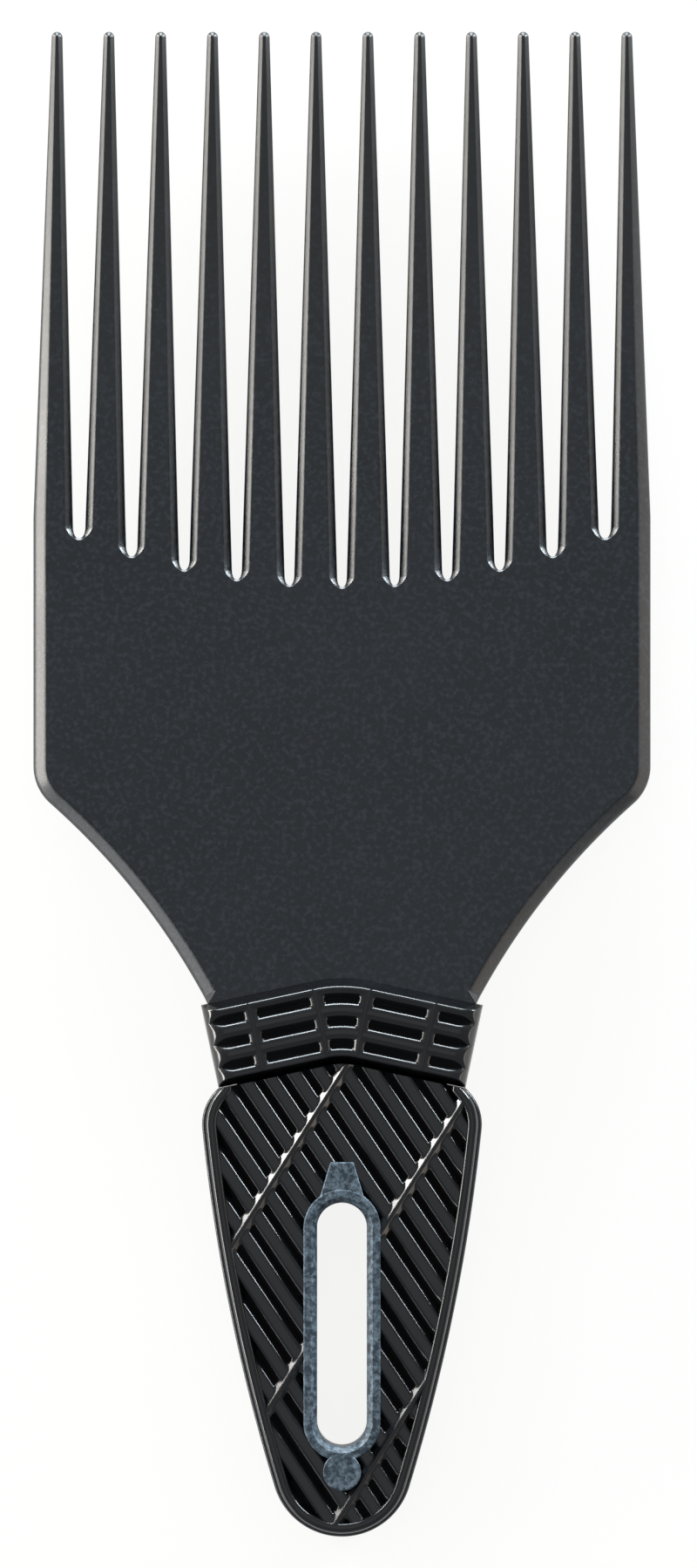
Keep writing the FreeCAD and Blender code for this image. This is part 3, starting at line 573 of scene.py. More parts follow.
class Teeth:
    """Where the gaps and the teeth's flanks lie."""

    def __init__(self, sizes):
        self.sizes = sizes
        self.gaps = sizes.teeth - 1
        outermost = (self.gaps - 1) / 2
        self.root_pitch = (sizes.width / 2 - sizes.outer_tooth - sizes.gap_width / 2) / outermost
        self.tip_pitch = sizes.tip_span / self.gaps
        self.root = place(sizes.gap_along)
        self.tip = TIP_END - sizes.tip_width / 2
        self.taper = self.root_at(self.root_pitch * outermost) + sizes.taper_lead

    def root_at(self, x):
        radius = self.sizes.gap_arc
        return self.root + radius - math.sqrt(radius ** 2 - x ** 2)

    def taper_share(self, y):
        return max(0.0, min(1.0, (y - self.taper) / (self.tip - self.taper)))

    def half_gap(self, y):
        wide = self.tip_pitch - self.sizes.tip_width
        share = (y - self.root) / (self.tip - self.root)
        return blend(self.sizes.gap_width, wide, share) / 2

    def gap_middle(self, step, y):
        return step * blend(self.root_pitch, self.tip_pitch, self.taper_share(y))

    def outer_side(self, y):
        tip = (self.sizes.tip_span + self.sizes.tip_width) / 2
        return blend(self.sizes.width / 2, tip, self.taper_share(y))

    def half_thickness(self, y):
        return blend(self.sizes.thickness, self.sizes.tip_thickness, self.taper_share(y)) / 2

    def rear_face(self, y):
        return -self.half_thickness(y)

    def flank_round(self, y):
        return blend(self.sizes.flank_round, self.sizes.tip_round, self.taper_share(y))

    def outer_round(self, y):
        return blend(self.sizes.edge_round, self.sizes.tip_round, self.taper_share(y))


def shoulder_points(sizes, chevron, foot):
    """The hollow sweep from the neck to the shoulder, and the shoulder's round corner."""
    neck = Vector(chevron.point(foot, chevron.run_at(foot, sizes.neck_width / 2)))
    corner = Vector((sizes.width / 2, place(sizes.shoulder_along)))
    chord = corner - neck
    rise = math.sqrt(sizes.sweep_radius ** 2 - chord.length_squared / 4)
    centre = (neck + corner) / 2 + Vector((chord.y, -chord.x)).normalized() * rise
    x = sizes.width / 2 - sizes.shoulder_round
    reach = sizes.sweep_radius + sizes.shoulder_round
    middle = Vector((x, centre.y + math.sqrt(reach ** 2 - (x - centre.x) ** 2)))
    sweep = arc(centre, sizes.sweep_radius, bearing(centre, neck), bearing(centre, middle), SWEEP_STEPS)
    start = bearing(middle, centre)
    return sweep + arc(middle, sizes.shoulder_round, start, 0.0, CORNER_STEPS)[1:]


FLANK_STEPS = 10
ROOT_STEPS = 14
TIP_STEPS = 10

# A gap's bottom is longer than a half circle by this share of the flank's edge, and its edge is
# narrower than the flank's by the second share
ROOT_LENGTHENED = 0.6
ROOT_NARROWED = 0.8

BLADE_SHARP = 40.0


def flank_places(teeth, root):
    """Places along a flank, from its root to its tip, with one where the taper starts."""
    run = teeth.tip - teeth.taper
    steps = [teeth.taper + run * step / FLANK_STEPS for step in range(FLANK_STEPS + 1)]
    return [root, (root + teeth.taper) / 2] + steps


def blade_half(sizes, teeth, chevron, foot):
    """Right half of the blade's outline, with its edge rounds, up to the middle gap's bottom."""
    half = [(x, y, HOLD) for x, y in chevron.half_line(foot, sizes.neck_width / 2)]
    half += [(x, y, sizes.edge_round) for x, y in shoulder_points(sizes, chevron, foot)[1:]]
    for y in flank_places(teeth, teeth.root):
        half.append((teeth.outer_side(y), y, teeth.outer_round(y)))
    for gap in range(teeth.gaps - 1, (teeth.gaps - 1) // 2 - 1, -1):
        step = gap - (teeth.gaps - 1) / 2
        right = half[-1][0]
        left = teeth.gap_middle(step, teeth.tip) + teeth.half_gap(teeth.tip)
        centre = ((left + right) / 2, teeth.tip)
        tip = arc(centre, (right - left) / 2, 0.0, math.pi, TIP_STEPS)[1:-1]
        half += [(x, y, sizes.tip_round) for x, y in tip]
        root = teeth.root_at(teeth.root_pitch * step)
        places = flank_places(teeth, root)
        for y in reversed(places):
            half.append((teeth.gap_middle(step, y) + teeth.half_gap(y), y, teeth.flank_round(y)))
        width = teeth.half_gap(root)
        depth = width + sizes.flank_round * ROOT_LENGTHENED
        for turn in range(1, ROOT_STEPS):
            spread = math.pi * turn / ROOT_STEPS
            x = teeth.gap_middle(step, root) + width * math.cos(spread)
            edge = sizes.flank_round * (1 - ROOT_NARROWED * math.sin(spread))
            half.append((x, root - depth * math.sin(spread), edge))
            if step == 0 and turn == ROOT_STEPS // 2:
                return half
        for y in places:
            half.append((teeth.gap_middle(step, y) - teeth.half_gap(y), y, teeth.flank_round(y)))
    return half


def taper_seams(loop, taper):
    """Pairs of outline points that face each other across a tooth where the taper starts."""
    at_taper = [index for index, point in enumerate(loop) if abs(point[1] - taper) < HOLD]
    at_taper.sort(key=lambda index: loop[index][0])
    return list(zip(at_taper[0::2], at_taper[1::2]))


def build_blade(settings):
    sizes = settings.comb_blade
    handle = settings.comb_handle
    collar = settings.comb_collar
    slot = settings.comb_slot
    chevron = Chevron(collar)
    teeth = Teeth(sizes)
    foot = chevron.outer - HOLD
    loop = whole_loop(blade_half(sizes, teeth, chevron, foot))
    rounds = [point[2] for point in loop]
    seams = taper_seams(loop, teeth.taper)
    blade = slab(loop, rounds, teeth.half_thickness, teeth.rear_face, SLOPED_EDGE, seams=seams)
    piece = new_object("comb_blade_satin", blade)

    face = sizes.tang_thickness / 2
    outline = whole_loop(handle_half(handle, chevron, 0.0, chevron.inner - collar.clearance))
    tang = slab(outline, [sizes.tang_round] * len(outline), level(face), level(-face))
    low = chevron.point(chevron.inner, chevron.end)[1] - sizes.core_lap
    high = place(collar.apex_along) + sizes.core_lap
    inside = face - HOLD
    core_middle = (0, (low + high) / 2)
    carve(piece, "UNION", block(core_middle, sizes.core_width / 2, (high - low) / 2, -inside, inside))
    carve(piece, "UNION", tang)
    beyond = sizes.thickness
    tube = slot.width / 2 + slot.wall + collar.clearance
    carve(piece, "DIFFERENCE", prism(oblong(slot, tube), -beyond, beyond))
    stem = slot.stem_diameter / 2 + collar.clearance
    carve(piece, "DIFFERENCE", turned((0, place(slot.disc_along)), [(stem, -beyond), (stem, beyond)]))
    for side in (-1, 1):
        carve(piece, "DIFFERENCE", lug_block(collar, chevron, side, collar.clearance, -beyond, beyond))
    finish_piece(piece, "comb_blade", blade_satin(settings.comb_colours), BLADE_SHARP)


# Collar

# Spacing of the lattice's surface points: fine within reach of the bars, coarse between them
BAR_REACH = 1.1 * MM
BAR_STEP = 0.1 * MM
BAND_STEP = 0.6 * MM
LEAST_STEP = 0.02 * MM
BAND_LINES = 96
LAST_ROW_MARGIN = 1e-6


def lug_block(sizes, chevron, side, grow, bottom, top):
    """A locking lug, or its socket where it is grown."""
    x, y = chevron.point(chevron.middle, chevron.bend + sizes.lug_place)
    return block((x * side, y), sizes.lug_length / 2 + grow, sizes.lug_width / 2 + grow, bottom, top)


def ladder(places, near, fine, coarse):
    """Steps that are fine within reach of the given places and coarse between them."""
    steps = [places[0]]
    for start, stop in zip(places, places[1:]):
        marks = [start, start + near, stop - near, stop] if stop - start > near * 2 else [start, stop]
        for index, (low, high) in enumerate(zip(marks, marks[1:])):
            count = math.ceil((high - low) / (coarse if index == 1 else fine))
            steps += [blend(low, high, step / count) for step in range(1, count + 1)]
    return steps


class Lattice:
    """Height of the collar's face: three rows of V pits, parted by four bars."""

    def __init__(self, sizes, chevron, blade_face):
        self.sizes = sizes
        self.chevron = chevron
        self.face = sizes.thickness / 2
        self.low = blade_face
        self.top_row = chevron.outer - sizes.bevel_run
        self.pitch = (sizes.width - sizes.bevel_run * 2) / sizes.rows
        self.bars = [0.0, sizes.bar_spacing]

    def pit(self, radius, run):
        sizes = self.sizes
        half = (self.pitch - sizes.row_crest) / 2
        row = min(max((self.top_row - radius) / self.pitch, 0.0), sizes.rows - LAST_ROW_MARGIN)
        from_valley = abs(row - math.floor(row) - 0.5) * self.pitch
        valley = sizes.pit_depth * (1 - from_valley / half)
        out = abs(run) - self.chevron.bend
        nearest = min(abs(out - bar) for bar in self.bars)
        from_crest = nearest - sizes.bar_crest / 2
        wall = shouldered(from_crest, sizes.bar_shoulder, sizes.pit_depth / sizes.bar_run)
        rows = soft_upper(valley, sizes.bar_proud, sizes.pit_round)
        return soft_lower(rows, soft_upper(wall, 0.0, sizes.bar_round), sizes.bar_round)

    def height(self, radius, run):
        sizes = self.sizes
        rise = self.face - self.low
        edge = min(radius - self.chevron.inner, self.chevron.outer - radius)
        bevel = self.low + rise * edge / sizes.bevel_run
        inward = max(1 - (self.chevron.end - abs(run)) / sizes.side_round, 0.0)
        side = self.face - rise * (1 - math.sqrt(max(1 - inward ** 2, 0.0)))
        pitted = self.face - self.pit(radius, run)
        sides = soft_lower(bevel, side, sizes.pit_round)
        return max(soft_lower(sides, pitted, sizes.bevel_round), self.low)


def collar_half(settings):
    """One half of the collar: lattice face, channel for the neck, one lug and one socket."""
    sizes = settings.comb_collar
    blade = settings.comb_blade
    chevron = Chevron(sizes)
    lattice = Lattice(sizes, chevron, blade.thickness / 2)
    half_runs = [0.0] + [chevron.bend + bar for bar in lattice.bars] + [chevron.end]
    runs = ladder(half_runs, BAR_REACH, BAR_STEP, BAND_STEP)
    runs += ladder([chevron.end - sizes.side_round, chevron.end], sizes.side_round, BAR_STEP, BAR_STEP)
    runs = sorted(set(runs))
    runs = [run for run, after in zip(runs, runs[1:] + [math.inf]) if after - run > LEAST_STEP]
    runs = [-run for run in reversed(runs[1:])] + runs
    radii = [blend(chevron.inner, chevron.outer, step / BAND_LINES) for step in range(BAND_LINES + 1)]
    rows = []
    for radius in radii:
        rows.append([(*chevron.point(radius, run), lattice.height(radius, run)) for run in runs])
    piece = new_object("front_collar_gloss", sheet_solid(rows, 0.0))
    face = blade.tang_thickness / 2
    low = chevron.point(chevron.inner, chevron.end)[1] - MM
    high = place(sizes.apex_along) + MM
    middle = (0, (low + high) / 2)
    across = blade.core_width / 2 + sizes.clearance
    carve(piece, "DIFFERENCE", block(middle, across, (high - low) / 2, -face, face + sizes.clearance))
    reach = face + sizes.lug_reach
    socket = lug_block(sizes, chevron, -1, sizes.clearance, -face, reach + sizes.clearance)
    carve(piece, "DIFFERENCE", socket)
    carve(piece, "UNION", lug_block(sizes, chevron, 1, 0.0, -reach, reach))
    return piece


def build_collars(settings):
    front = collar_half(settings)
    rear = turned_copy(front, "rear_collar_gloss")
    material = grip_gloss(settings.comb_colours)
    finish_piece(front, "front_collar", material)
    finish_piece(rear, "rear_collar", material)


# Grips

# Spacing of the fluted field's surface points: fine within reach of the veins, coarse between them
FLUTE_LINES = 16
VEIN_REACH = 1.0 * MM
VEIN_STEP = 0.11 * MM
FIELD_STEP = 2.0 * MM


class Flutes:
    """Height of a grip's field: flat ribs with soft edges, parted by cross veins."""

    def __init__(self, sizes, slot, face):
        self.sizes = sizes
        self.face = face
        self.centre = Vector((0.0, place(slot.centre_along)))
        self.across_flutes = Vector((math.sin(sizes.flute_angle), math.cos(sizes.flute_angle)))
        self.across_veins = Vector((math.sin(sizes.vein_angle), -math.cos(sizes.vein_angle)))
        middle = (sizes.vein_count - 1) / 2
        self.veins = [
            sizes.vein_phase + sizes.vein_pitch * (index - middle) for index in range(sizes.vein_count)
        ]

    def point(self, flute, vein):
        """The place at those two distances from the lines through the slot's centre."""
        first = self.across_flutes
        second = self.across_veins
        spread = first.x * second.y - first.y * second.x
        x = (flute * second.y - vein * first.y) / spread
        y = (first.x * vein - second.x * flute) / spread
        return self.centre.x + x, self.centre.y + y

    def height(self, flute, vein):
        sizes = self.sizes
        half = (sizes.flute_pitch - sizes.rib_width) / 2
        turn = (flute - sizes.flute_phase) / sizes.flute_pitch
        from_groove = abs(turn - round(turn)) * sizes.flute_pitch
        groove = sizes.flute_depth * (1 - from_groove / half)
        nearest = min(abs(vein - middle) for middle in self.veins)
        from_crest = nearest - sizes.vein_width / 2
        wall = shouldered(from_crest, sizes.vein_shoulder, sizes.flute_depth / sizes.vein_run)
        ribs = soft_upper(groove, sizes.vein_proud, sizes.rib_round)
        return self.face - soft_lower(ribs, soft_upper(wall, 0.0, sizes.vein_round), sizes.vein_round)


def field_solid(sizes, slot, face, floor):
    """The fluted field as a solid larger than the grip."""
    flutes = Flutes(sizes, slot, face)
    reach = sizes.width
    count = math.ceil(reach / sizes.flute_pitch)
    lines = [
        sizes.flute_phase + sizes.flute_pitch * step / FLUTE_LINES
        for step in range(-count * FLUTE_LINES, count * FLUTE_LINES + 1)
    ]
    crossings = ladder([-reach] + flutes.veins + [reach], VEIN_REACH, VEIN_STEP, FIELD_STEP)
    rows = []
    for vein in crossings:
        rows.append([(*flutes.point(flute, vein), flutes.height(flute, vein)) for flute in reversed(lines)])
    return sheet_solid(rows, floor)


def rim_bead(points, sizes, bottom, top):
    """The bead that runs round a grip."""
    shell = Shell()
    edge = [(sizes.rim_round * spread, top - sizes.rim_round * drop) for spread, drop in ROUND_EDGE]
    inner_edge = [(sizes.rim_width - inset, height) for inset, height in reversed(edge)]
    profile = [(0.0, bottom), *edge, *inner_edge, (sizes.rim_width, bottom)]
    rings = []
    for inset, height in profile:
        loop = inset_loop(points, [inset] * len(points))
        rings.append(shell.ring(loop, [height] * len(points)))
    shell.stack(rings, closed=True)
    return shell


def frame_outlines(slot, grow):
    """Plan loops of the slot frame, its land and its disc, grown outwards."""
    frame_loop = oblong(slot, slot.width / 2 + slot.frame_width + grow)
    top = slot.land_top_width / 2 + grow
    base = slot.land_base_width / 2 + grow
    upper = place(slot.land_top) + grow
    lower = place(slot.land_base)
    land = [(-base, lower), (base, lower), (top, upper), (-top, upper)]
    radius = slot.disc_diameter / 2 + grow
    disc = arc((0.0, place(slot.disc_along)), radius, 0.0, math.pi * 2, CIRCLE_STEPS)[:-1]
    return frame_loop, land, disc


def grip_half(settings):
    """One grip: bead and fluted field, seated on the tang and opened for the eyelet."""
    sizes = settings.comb_handle
    slot = settings.comb_slot
    collar = settings.comb_collar
    chevron = Chevron(collar)
    bottom = settings.comb_blade.tang_thickness / 2
    top = bottom + sizes.thickness
    hidden = chevron.inner + sizes.rim_width * 2
    outline = whole_loop(handle_half(sizes, chevron, sizes.ledge, hidden))
    bead_middle = sizes.ledge + sizes.rim_width / 2
    under_bead = whole_loop(handle_half(sizes, chevron, bead_middle, hidden - sizes.rim_width))
    piece = new_object("front_grip_gloss", field_solid(sizes, slot, top - HOLD, bottom))
    carve(piece, "INTERSECT", prism(under_bead, bottom - MM, top + MM))
    carve(piece, "UNION", rim_bead(outline, sizes, bottom, top))
    seat = top + slot.frame_proud - slot.frame_thickness
    for loop in frame_outlines(slot, collar.clearance / 2):
        carve(piece, "DIFFERENCE", prism(loop, seat, top + MM))
    tube = slot.width / 2 + slot.wall + collar.clearance
    carve(piece, "DIFFERENCE", prism(oblong(slot, tube), bottom - MM, top + MM))
    stem = slot.stem_diameter / 2 + collar.clearance
    hole = [(stem, bottom - MM), (stem, top + MM)]
    carve(piece, "DIFFERENCE", turned((0, place(slot.disc_along)), hole))
    edge = chevron.half_line(chevron.inner - collar.clearance, sizes.width)
    beyond = [(x, y + sizes.width) for x, y in reversed(edge)]
    room = whole_loop(edge + beyond)
    carve(piece, "DIFFERENCE", prism(room, bottom - MM, top + MM))
    return piece


def build_grips(settings):
    front = grip_half(settings)
    rear = turned_copy(front, "rear_grip_gloss")
    material = grip_gloss(settings.comb_colours)
    finish_piece(front, "front_grip", material)
    finish_piece(rear, "rear_grip", material)


# Slot eyelet

# Places down the lip's slope, and how far the land and the disc run into the frame
LIP_SHARES = (0.0, 0.1, 0.9, 1.0)
FRAME_LAP = HOLD * 4


def frame_ring(slot, seat, face, tube_bottom):
    """The flat frame with its sloping lip and the tube that lines the slot."""
    clear = slot.width / 2
    outer = clear + slot.frame_width
    tube = clear + slot.wall
    profile = [(outer, seat)]
    for spread, drop in ROUND_EDGE:
        profile.append((outer - slot.frame_round * spread, face - slot.frame_round * drop))
    profile.append((outer - slot.frame_round - HOLD, face))
    profile.append((clear + slot.lip_width + HOLD, face))
    for share in LIP_SHARES:
        profile.append((clear + slot.lip_width * (1 - share), face - slot.lip_depth * share))
    profile += [(clear, tube_bottom), (tube, tube_bottom), (tube, seat)]
    shell = Shell()
    rings = []
    for radius, height in profile:
        loop = oblong(slot, radius)
        rings.append(shell.ring(loop, [height] * len(loop)))
    shell.stack(rings, closed=True)
    return shell


def disc_profile(slot, base, top):
    radius = slot.disc_diameter / 2
    edge = slot.frame_round
    profile = [(radius, base)]
    for spread, drop in ROUND_EDGE:
        profile.append((radius - edge * spread, top - edge * drop))
    profile.append((radius - edge - HOLD, top))
    return profile


def eyelet_half(settings, name, tube_bottom):
    """A slot frame with its disc and its pointed land."""
    slot = settings.comb_slot
    tang = settings.comb_blade.tang_thickness / 2
    face = tang + settings.comb_handle.thickness + slot.frame_proud
    seat = face - slot.frame_thickness
    piece = new_object(name, frame_ring(slot, seat, face, tube_bottom))
    opening = prism(oblong(slot, slot.width / 2 + slot.frame_width - FRAME_LAP), seat - MM, face + MM)
    outline = frame_outlines(slot, 0.0)[1]
    rounds = [slot.frame_round] * len(outline)
    land = slab(outline, rounds, level(face - HOLD), level(seat + HOLD), round_bottom=False)
    profile = disc_profile(slot, seat + HOLD, face + slot.disc_rise)
    disc = turned((0, place(slot.disc_along)), profile)
    for shell in (land, disc):
        part = new_object("frame_part", shell)
        carve(part, "DIFFERENCE", opening)
        carve_with(piece, "UNION", part)
    return piece


def build_eyelet(settings):
    slot = settings.comb_slot
    tang = settings.comb_blade.tang_thickness / 2
    clearance = settings.comb_collar.clearance
    seat = tang + settings.comb_handle.thickness + slot.frame_proud - slot.frame_thickness
    disc = (0, place(slot.disc_along))
    front = eyelet_half(settings, "slot_eyelet_satin", -tang)
    stem = slot.stem_diameter / 2
    low = clearance - seat - slot.socket_depth
    carve(front, "UNION", turned(disc, [(stem, low), (stem, seat + clearance)]))
    rear = eyelet_half(settings, "slot_ring_satin", tang + clearance)
    socket = stem + clearance
    carve(rear, "DIFFERENCE", turned(disc, [(socket, seat - MM), (socket, seat + slot.socket_depth)]))
    rear.data.transform(TURNED_OVER)
    material = slot_satin(settings.comb_colours)
    finish_piece(front, "slot_eyelet", material)
    finish_piece(rear, "slot_ring", material)


# Finishes

GLOSS_LEVEL = 0.75
# How far down from the tips the painted shade on the teeth reaches
TIP_SHADE_LENGTH = 55 * MM
DULLED_LENGTH = 50 * MM
FLOOR_LIFT = 0.87


class Nodes:
    """A material's node tree, with short ways to add what the finishes share."""

    def __init__(self, name):
        self.material = bpy.data.materials.new(name)
        self.material.use_nodes = True
        self.tree = self.material.node_tree
        self.shader = self.tree.nodes["Principled BSDF"]
        self.place = self.add("ShaderNodeTexCoord").outputs["Object"]

    def add(self, kind, **settings):
        node = self.tree.nodes.new(kind)
        for key, value in settings.items():
            setattr(node, key, value)
        return node

    def link(self, source, target):
        self.tree.links.new(source, target)

    def noise(self, scale, detail, roughness):
        node = self.add("ShaderNodeTexNoise")
        node.inputs["Scale"].default_value = scale
        node.inputs["Detail"].default_value = detail
        node.inputs["Roughness"].default_value = roughness
        self.link(self.place, node.inputs["Vector"])
        return node.outputs["Fac"]

    def along(self):
        """Distance along the comb from its middle."""
        node = self.add("ShaderNodeSeparateXYZ")
        self.link(self.place, node.inputs["Vector"])
        return node.outputs["Y"]

    def spread(self, value, low, high, to_low, to_high):
        """A value's range from low to high, stretched to another and held at its ends."""
        node = self.add("ShaderNodeMapRange")
        node.inputs["From Min"].default_value = low
        node.inputs["From Max"].default_value = high
        node.inputs["To Min"].default_value = to_low
        node.inputs["To Max"].default_value = to_high
        self.link(value, node.inputs["Value"])
        return node.outputs["Result"]

    def mix(self, share, first, second):
        """A blend of two colours, each given as a value or as a socket."""
        node = self.add("ShaderNodeMix", data_type="RGBA")
        self.link(share, node.inputs["Factor"])
        for socket, value in ((node.inputs["A"], first), (node.inputs["B"], second)):
            if hasattr(value, "is_linked"):
                self.link(value, socket)
            else:
                socket.default_value = (*value, 1.0)
        return node.outputs["Result"]

    def bump(self, height, strength, distance):
        node = self.add("ShaderNodeBump")
        node.inputs["Strength"].default_value = strength
        node.inputs["Distance"].default_value = distance
        self.link(height, node.inputs["Height"])
        return node.outputs["Normal"]


def blade_satin(colours):
    """Satin moulded plastic: fine spark-eroded grain under a faint dusty bloom, with painted shade
    darkening the teeth towards their tips.
    """
    nodes = Nodes("blade_satin")
    grain = nodes.noise(2600.0, 2.0, 0.6)
    bloom = nodes.noise(55.0, 4.0, 0.6)
    speck = nodes.noise(1700.0, 3.0, 0.6)
    share = nodes.spread(bloom, 0.35, 0.75, 0.0, 0.25)
    base = nodes.mix(share, colours.blade, colours.blade_dust)
    specked = nodes.mix(nodes.spread(speck, 0.48, 0.68, 0.0, 1.0), base, colours.blade_dust)
    # Painted shade: towards the tips the blade's colour blends into a darker, warmer one that stands for
    # light falling off there; the bloom and specks fade with it
    shaded = nodes.spread(nodes.along(), TIP_END - TIP_SHADE_LENGTH, TIP_END, 0.0, 1.0)
    nodes.link(nodes.mix(shaded, specked, colours.blade_tip_shade), nodes.shader.inputs["Base Color"])
    dullness = nodes.add("ShaderNodeMath", operation="ADD")
    nodes.link(nodes.spread(bloom, 0.3, 0.7, 0.25, 0.33), dullness.inputs[0])
    nodes.link(nodes.spread(nodes.along(), TIP_END - DULLED_LENGTH, TIP_END, 0.0, 0.08), dullness.inputs[1])
    nodes.link(dullness.outputs[0], nodes.shader.inputs["Roughness"])
    nodes.link(nodes.bump(grain, 0.12, 0.06 * MM), nodes.shader.inputs["Normal"])
    nodes.shader.inputs["Specular IOR Level"].default_value = GLOSS_LEVEL
    return nodes.material


def grip_gloss(colours):
    """Gloss black plastic, slightly worn, with small flow waves in the polish."""
    name = "grip_gloss"
    if name in bpy.data.materials:
        return bpy.data.materials[name]
    nodes = Nodes(name)
    rub = nodes.noise(160.0, 4.0, 0.6)
    wave = nodes.noise(700.0, 2.0, 0.5)
    share = nodes.spread(rub, 0.45, 0.75, 0.0, 0.5)
    nodes.link(nodes.mix(share, colours.grip, colours.grip_wear), nodes.shader.inputs["Base Color"])
    nodes.link(nodes.spread(rub, 0.3, 0.75, 0.12, 0.22), nodes.shader.inputs["Roughness"])
    nodes.link(nodes.bump(wave, 0.08, 0.1 * MM), nodes.shader.inputs["Normal"])
    nodes.shader.inputs["Specular IOR Level"].default_value = GLOSS_LEVEL
    return nodes.material


def slot_satin(colours):
    """Satin blue-grey plastic of the slot frame, with a coarser mottle."""
    nodes = Nodes("slot_satin")
    mottle = nodes.noise(1500.0, 4.0, 0.65)
    grain = nodes.noise(2200.0, 2.0, 0.6)
    share = nodes.spread(mottle, 0.42, 0.66, 0.0, 1.0)
    nodes.link(nodes.mix(share, colours.slot, colours.slot_dust), nodes.shader.inputs["Base Color"])
    nodes.link(nodes.spread(mottle, 0.3, 0.7, 0.34, 0.5), nodes.shader.inputs["Roughness"])
    nodes.link(nodes.bump(grain, 0.3, 0.07 * MM), nodes.shader.inputs["Normal"])
    return nodes.material


def floor_finish(colours):
    """Pale floor that the camera and mirrors see near white, with the comb's shadow kept."""
    nodes = Nodes("floor_pale")
    nodes.shader.inputs["Base Color"].default_value = (*colours.floor, 1.0)
    nodes.shader.inputs["Roughness"].default_value = 0.9
    nodes.shader.inputs["Emission Color"].default_value = (1.0, 1.0, 0.985, 1.0)
    path = nodes.add("ShaderNodeLightPath")
    seen = nodes.add("ShaderNodeMath", operation="MAXIMUM")
    nodes.link(path.outputs["Is Camera Ray"], seen.inputs[0])
    glossy = nodes.add("ShaderNodeMath", operation="MAXIMUM")
    nodes.link(path.outputs["Is Glossy Ray"], glossy.inputs[0])
    nodes.link(path.outputs["Is Transmission Ray"], glossy.inputs[1])
    nodes.link(glossy.outputs[0], seen.inputs[1])
    lift = nodes.spread(seen.outputs[0], 0.0, 1.0, 0.0, FLOOR_LIFT)
    nodes.link(lift, nodes.shader.inputs["Emission Strength"])
    return nodes.material


# Stage

FLOOR_HALF = 3.0
NEAREST_SEEN = 0.01
WARM = (1.0, 0.96, 0.90)
WARM_PALE = (1.0, 0.97, 0.93)
AMBER = (1.0, 0.86, 0.72)
COOL_PALE = (0.95, 0.97, 1.0)
COOL = (0.84, 0.94, 1.0)
COOL_DEEP = (0.84, 0.93, 1.0)
ROOM = (0.92, 0.96, 1.0, 1.0)


def area_light(name, azimuth, zenith, distance, size, watts, tint):
    """A soft light that faces the comb.

    Its place is given by degrees from +X, degrees from straight up and metres, and its size by
    height and length in metres.
    """
    turn = math.radians(azimuth)
    lean = math.radians(zenith)
    light = bpy.data.lights.new(name, "AREA")
    light.shape = "RECTANGLE"
    light.size = size[0]
    light.size_y = size[1]
    light.energy = watts
    light.color = tint
    lamp = bpy.data.objects.new(name, light)
    outward = Vector((math.sin(lean) * math.cos(turn), math.sin(lean) * math.sin(turn), math.cos(lean)))
    lamp.location = outward * distance
    lamp.rotation_euler = (0.0, lean, turn)
    bpy.context.scene.collection.objects.link(lamp)


def build_stage(settings):
    stage = settings.comb_stage
    scene = bpy.context.scene
    scene.view_settings.view_transform = "Standard"
    half = FLOOR_HALF
    corners = [(-half, -half), (half, -half), (half, half), (-half, half)]
    floor = Shell()
    ring = floor.ring(corners, [0.0] * len(corners))
    floor.faces.append(tuple(ring))
    ground = new_object("pale_floor", floor)
    ground.data.materials.append(floor_finish(settings.comb_colours))

    area_light("key_left", 180, 83, 0.7, (0.14, 0.6), stage.key_power, WARM)
    area_light("upper_left", 144, 82, 0.7, (0.16, 0.25), stage.upper_power, WARM_PALE)
    area_light("lower_left", 217, 83, 0.7, (0.14, 0.3), stage.lower_power, COOL_PALE)
    area_light("low_right", 345, 83, 0.7, (0.12, 0.6), stage.low_power, AMBER)
    area_light("fill_right", 38, 82, 0.7, (0.16, 0.25), stage.fill_power, COOL)
    area_light("far_top", 92, 82, 0.75, (0.16, 0.5), stage.top_power, COOL)
    area_light("overhead", 90, 3, 1.75, (0.9, 0.9), stage.overhead_power, COOL_DEEP)

    world = bpy.data.worlds.new("soft_room")
    world.use_nodes = True
    background = world.node_tree.nodes["Background"]
    background.inputs["Color"].default_value = ROOM
    background.inputs["Strength"].default_value = stage.world_light
    scene.world = world

    camera = bpy.data.cameras.new("straight_down")
    camera.lens = stage.focal_length / MM
    camera.clip_start = NEAREST_SEEN
    eye = bpy.data.objects.new("straight_down", camera)
    half_view = math.atan(camera.sensor_width / 2 / camera.lens)
    distance = stage.view_height / 2 / math.tan(half_view)
    middle = (HANDLE_END + TIP_END) / 2
    eye.location = (stage.view_shift, middle, MIDDLE + distance)
    scene.collection.objects.link(eye)
    scene.camera = eye


# Operators, panel and registration

class COMB_OT_blade(bpy.types.Operator):
    """Build the blade with its teeth, neck and tang"""

    bl_idname = "comb.blade"
    bl_label = "Comb Blade"
    bl_options = {"REGISTER", "UNDO"}

    def execute(self, context):
        build_blade(context.scene)
        return {"FINISHED"}


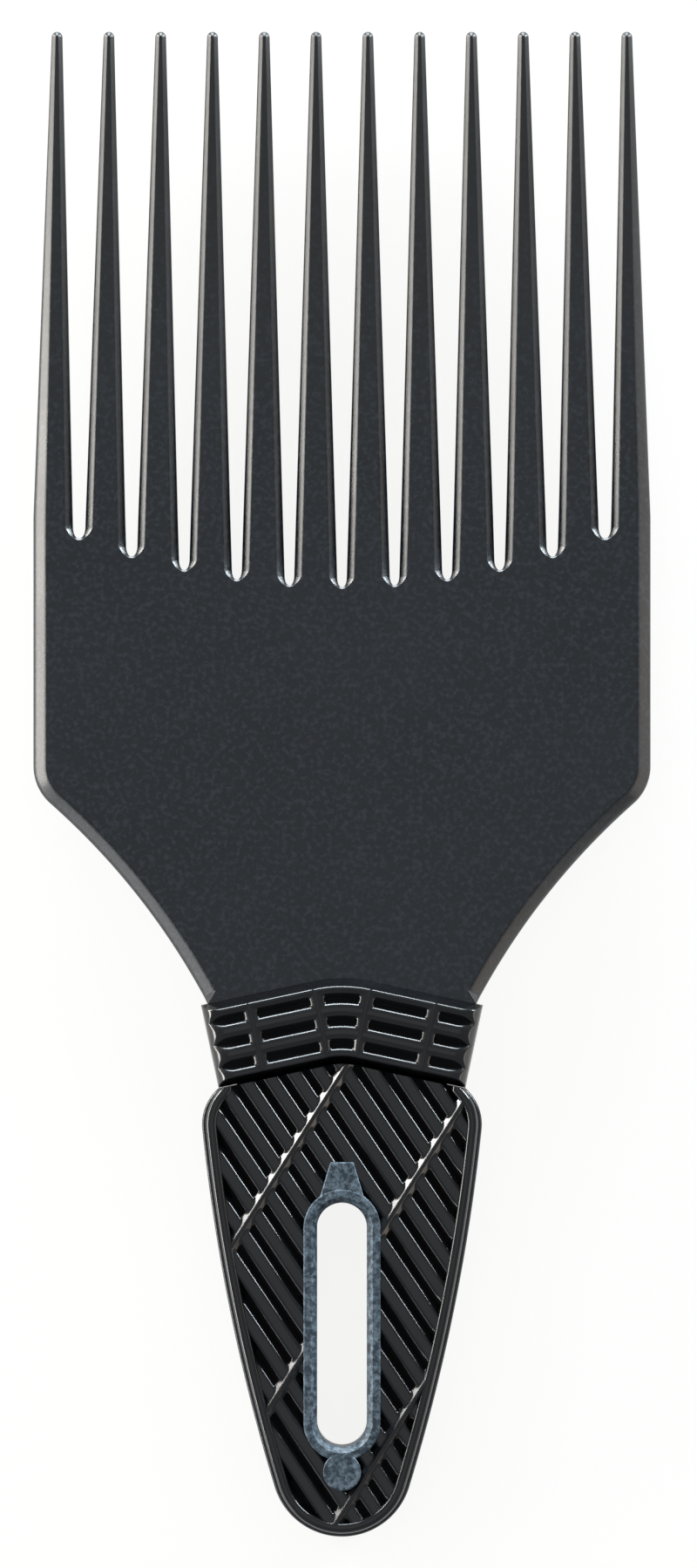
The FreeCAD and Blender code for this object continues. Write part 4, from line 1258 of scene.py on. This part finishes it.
class COMB_OT_collars(bpy.types.Operator):
    """Build both halves of the lattice collar"""

    bl_idname = "comb.collars"
    bl_label = "Lattice Collar"
    bl_options = {"REGISTER", "UNDO"}

    def execute(self, context):
        build_collars(context.scene)
        return {"FINISHED"}


class COMB_OT_grips(bpy.types.Operator):
    """Build both fluted grips"""

    bl_idname = "comb.grips"
    bl_label = "Fluted Grips"
    bl_options = {"REGISTER", "UNDO"}

    def execute(self, context):
        build_grips(context.scene)
        return {"FINISHED"}


class COMB_OT_eyelet(bpy.types.Operator):
    """Build the two halves of the slot's eyelet"""

    bl_idname = "comb.eyelet"
    bl_label = "Slot Eyelet"
    bl_options = {"REGISTER", "UNDO"}

    def execute(self, context):
        build_eyelet(context.scene)
        return {"FINISHED"}


class COMB_OT_stage(bpy.types.Operator):
    """Build the floor, the lights and the camera"""

    bl_idname = "comb.stage"
    bl_label = "Stage"
    bl_options = {"REGISTER", "UNDO"}

    def execute(self, context):
        build_stage(context.scene)
        return {"FINISHED"}


class COMB_PT_panel(bpy.types.Panel):
    """Sidebar panel with the comb's operators"""

    bl_label = "Pick Comb"
    bl_space_type = "VIEW_3D"
    bl_region_type = "UI"
    bl_category = "Pick Comb"

    def draw(self, context):
        for operator in OPERATORS:
            self.layout.operator(operator.bl_idname)


SETTINGS = {
    "comb_blade": BladeSizes,
    "comb_handle": HandleSizes,
    "comb_collar": CollarSizes,
    "comb_slot": SlotSizes,
    "comb_colours": FinishColours,
    "comb_stage": StageSetup,
}
OPERATORS = (COMB_OT_stage, COMB_OT_blade, COMB_OT_collars, COMB_OT_grips, COMB_OT_eyelet)
CLASSES = (*SETTINGS.values(), *OPERATORS, COMB_PT_panel)


def register():
    for made in CLASSES:
        bpy.utils.register_class(made)
    for name, group in SETTINGS.items():
        setattr(bpy.types.Scene, name, PointerProperty(type=group))


def unregister():
    for name in SETTINGS:
        delattr(bpy.types.Scene, name)
    for made in reversed(CLASSES):
        bpy.utils.unregister_class(made)


def main():
    register()
    bpy.ops.comb.stage()
    bpy.ops.comb.blade()
    bpy.ops.comb.collars()
    bpy.ops.comb.grips()
    bpy.ops.comb.eyelet()


if __name__ == "__main__":
    main()
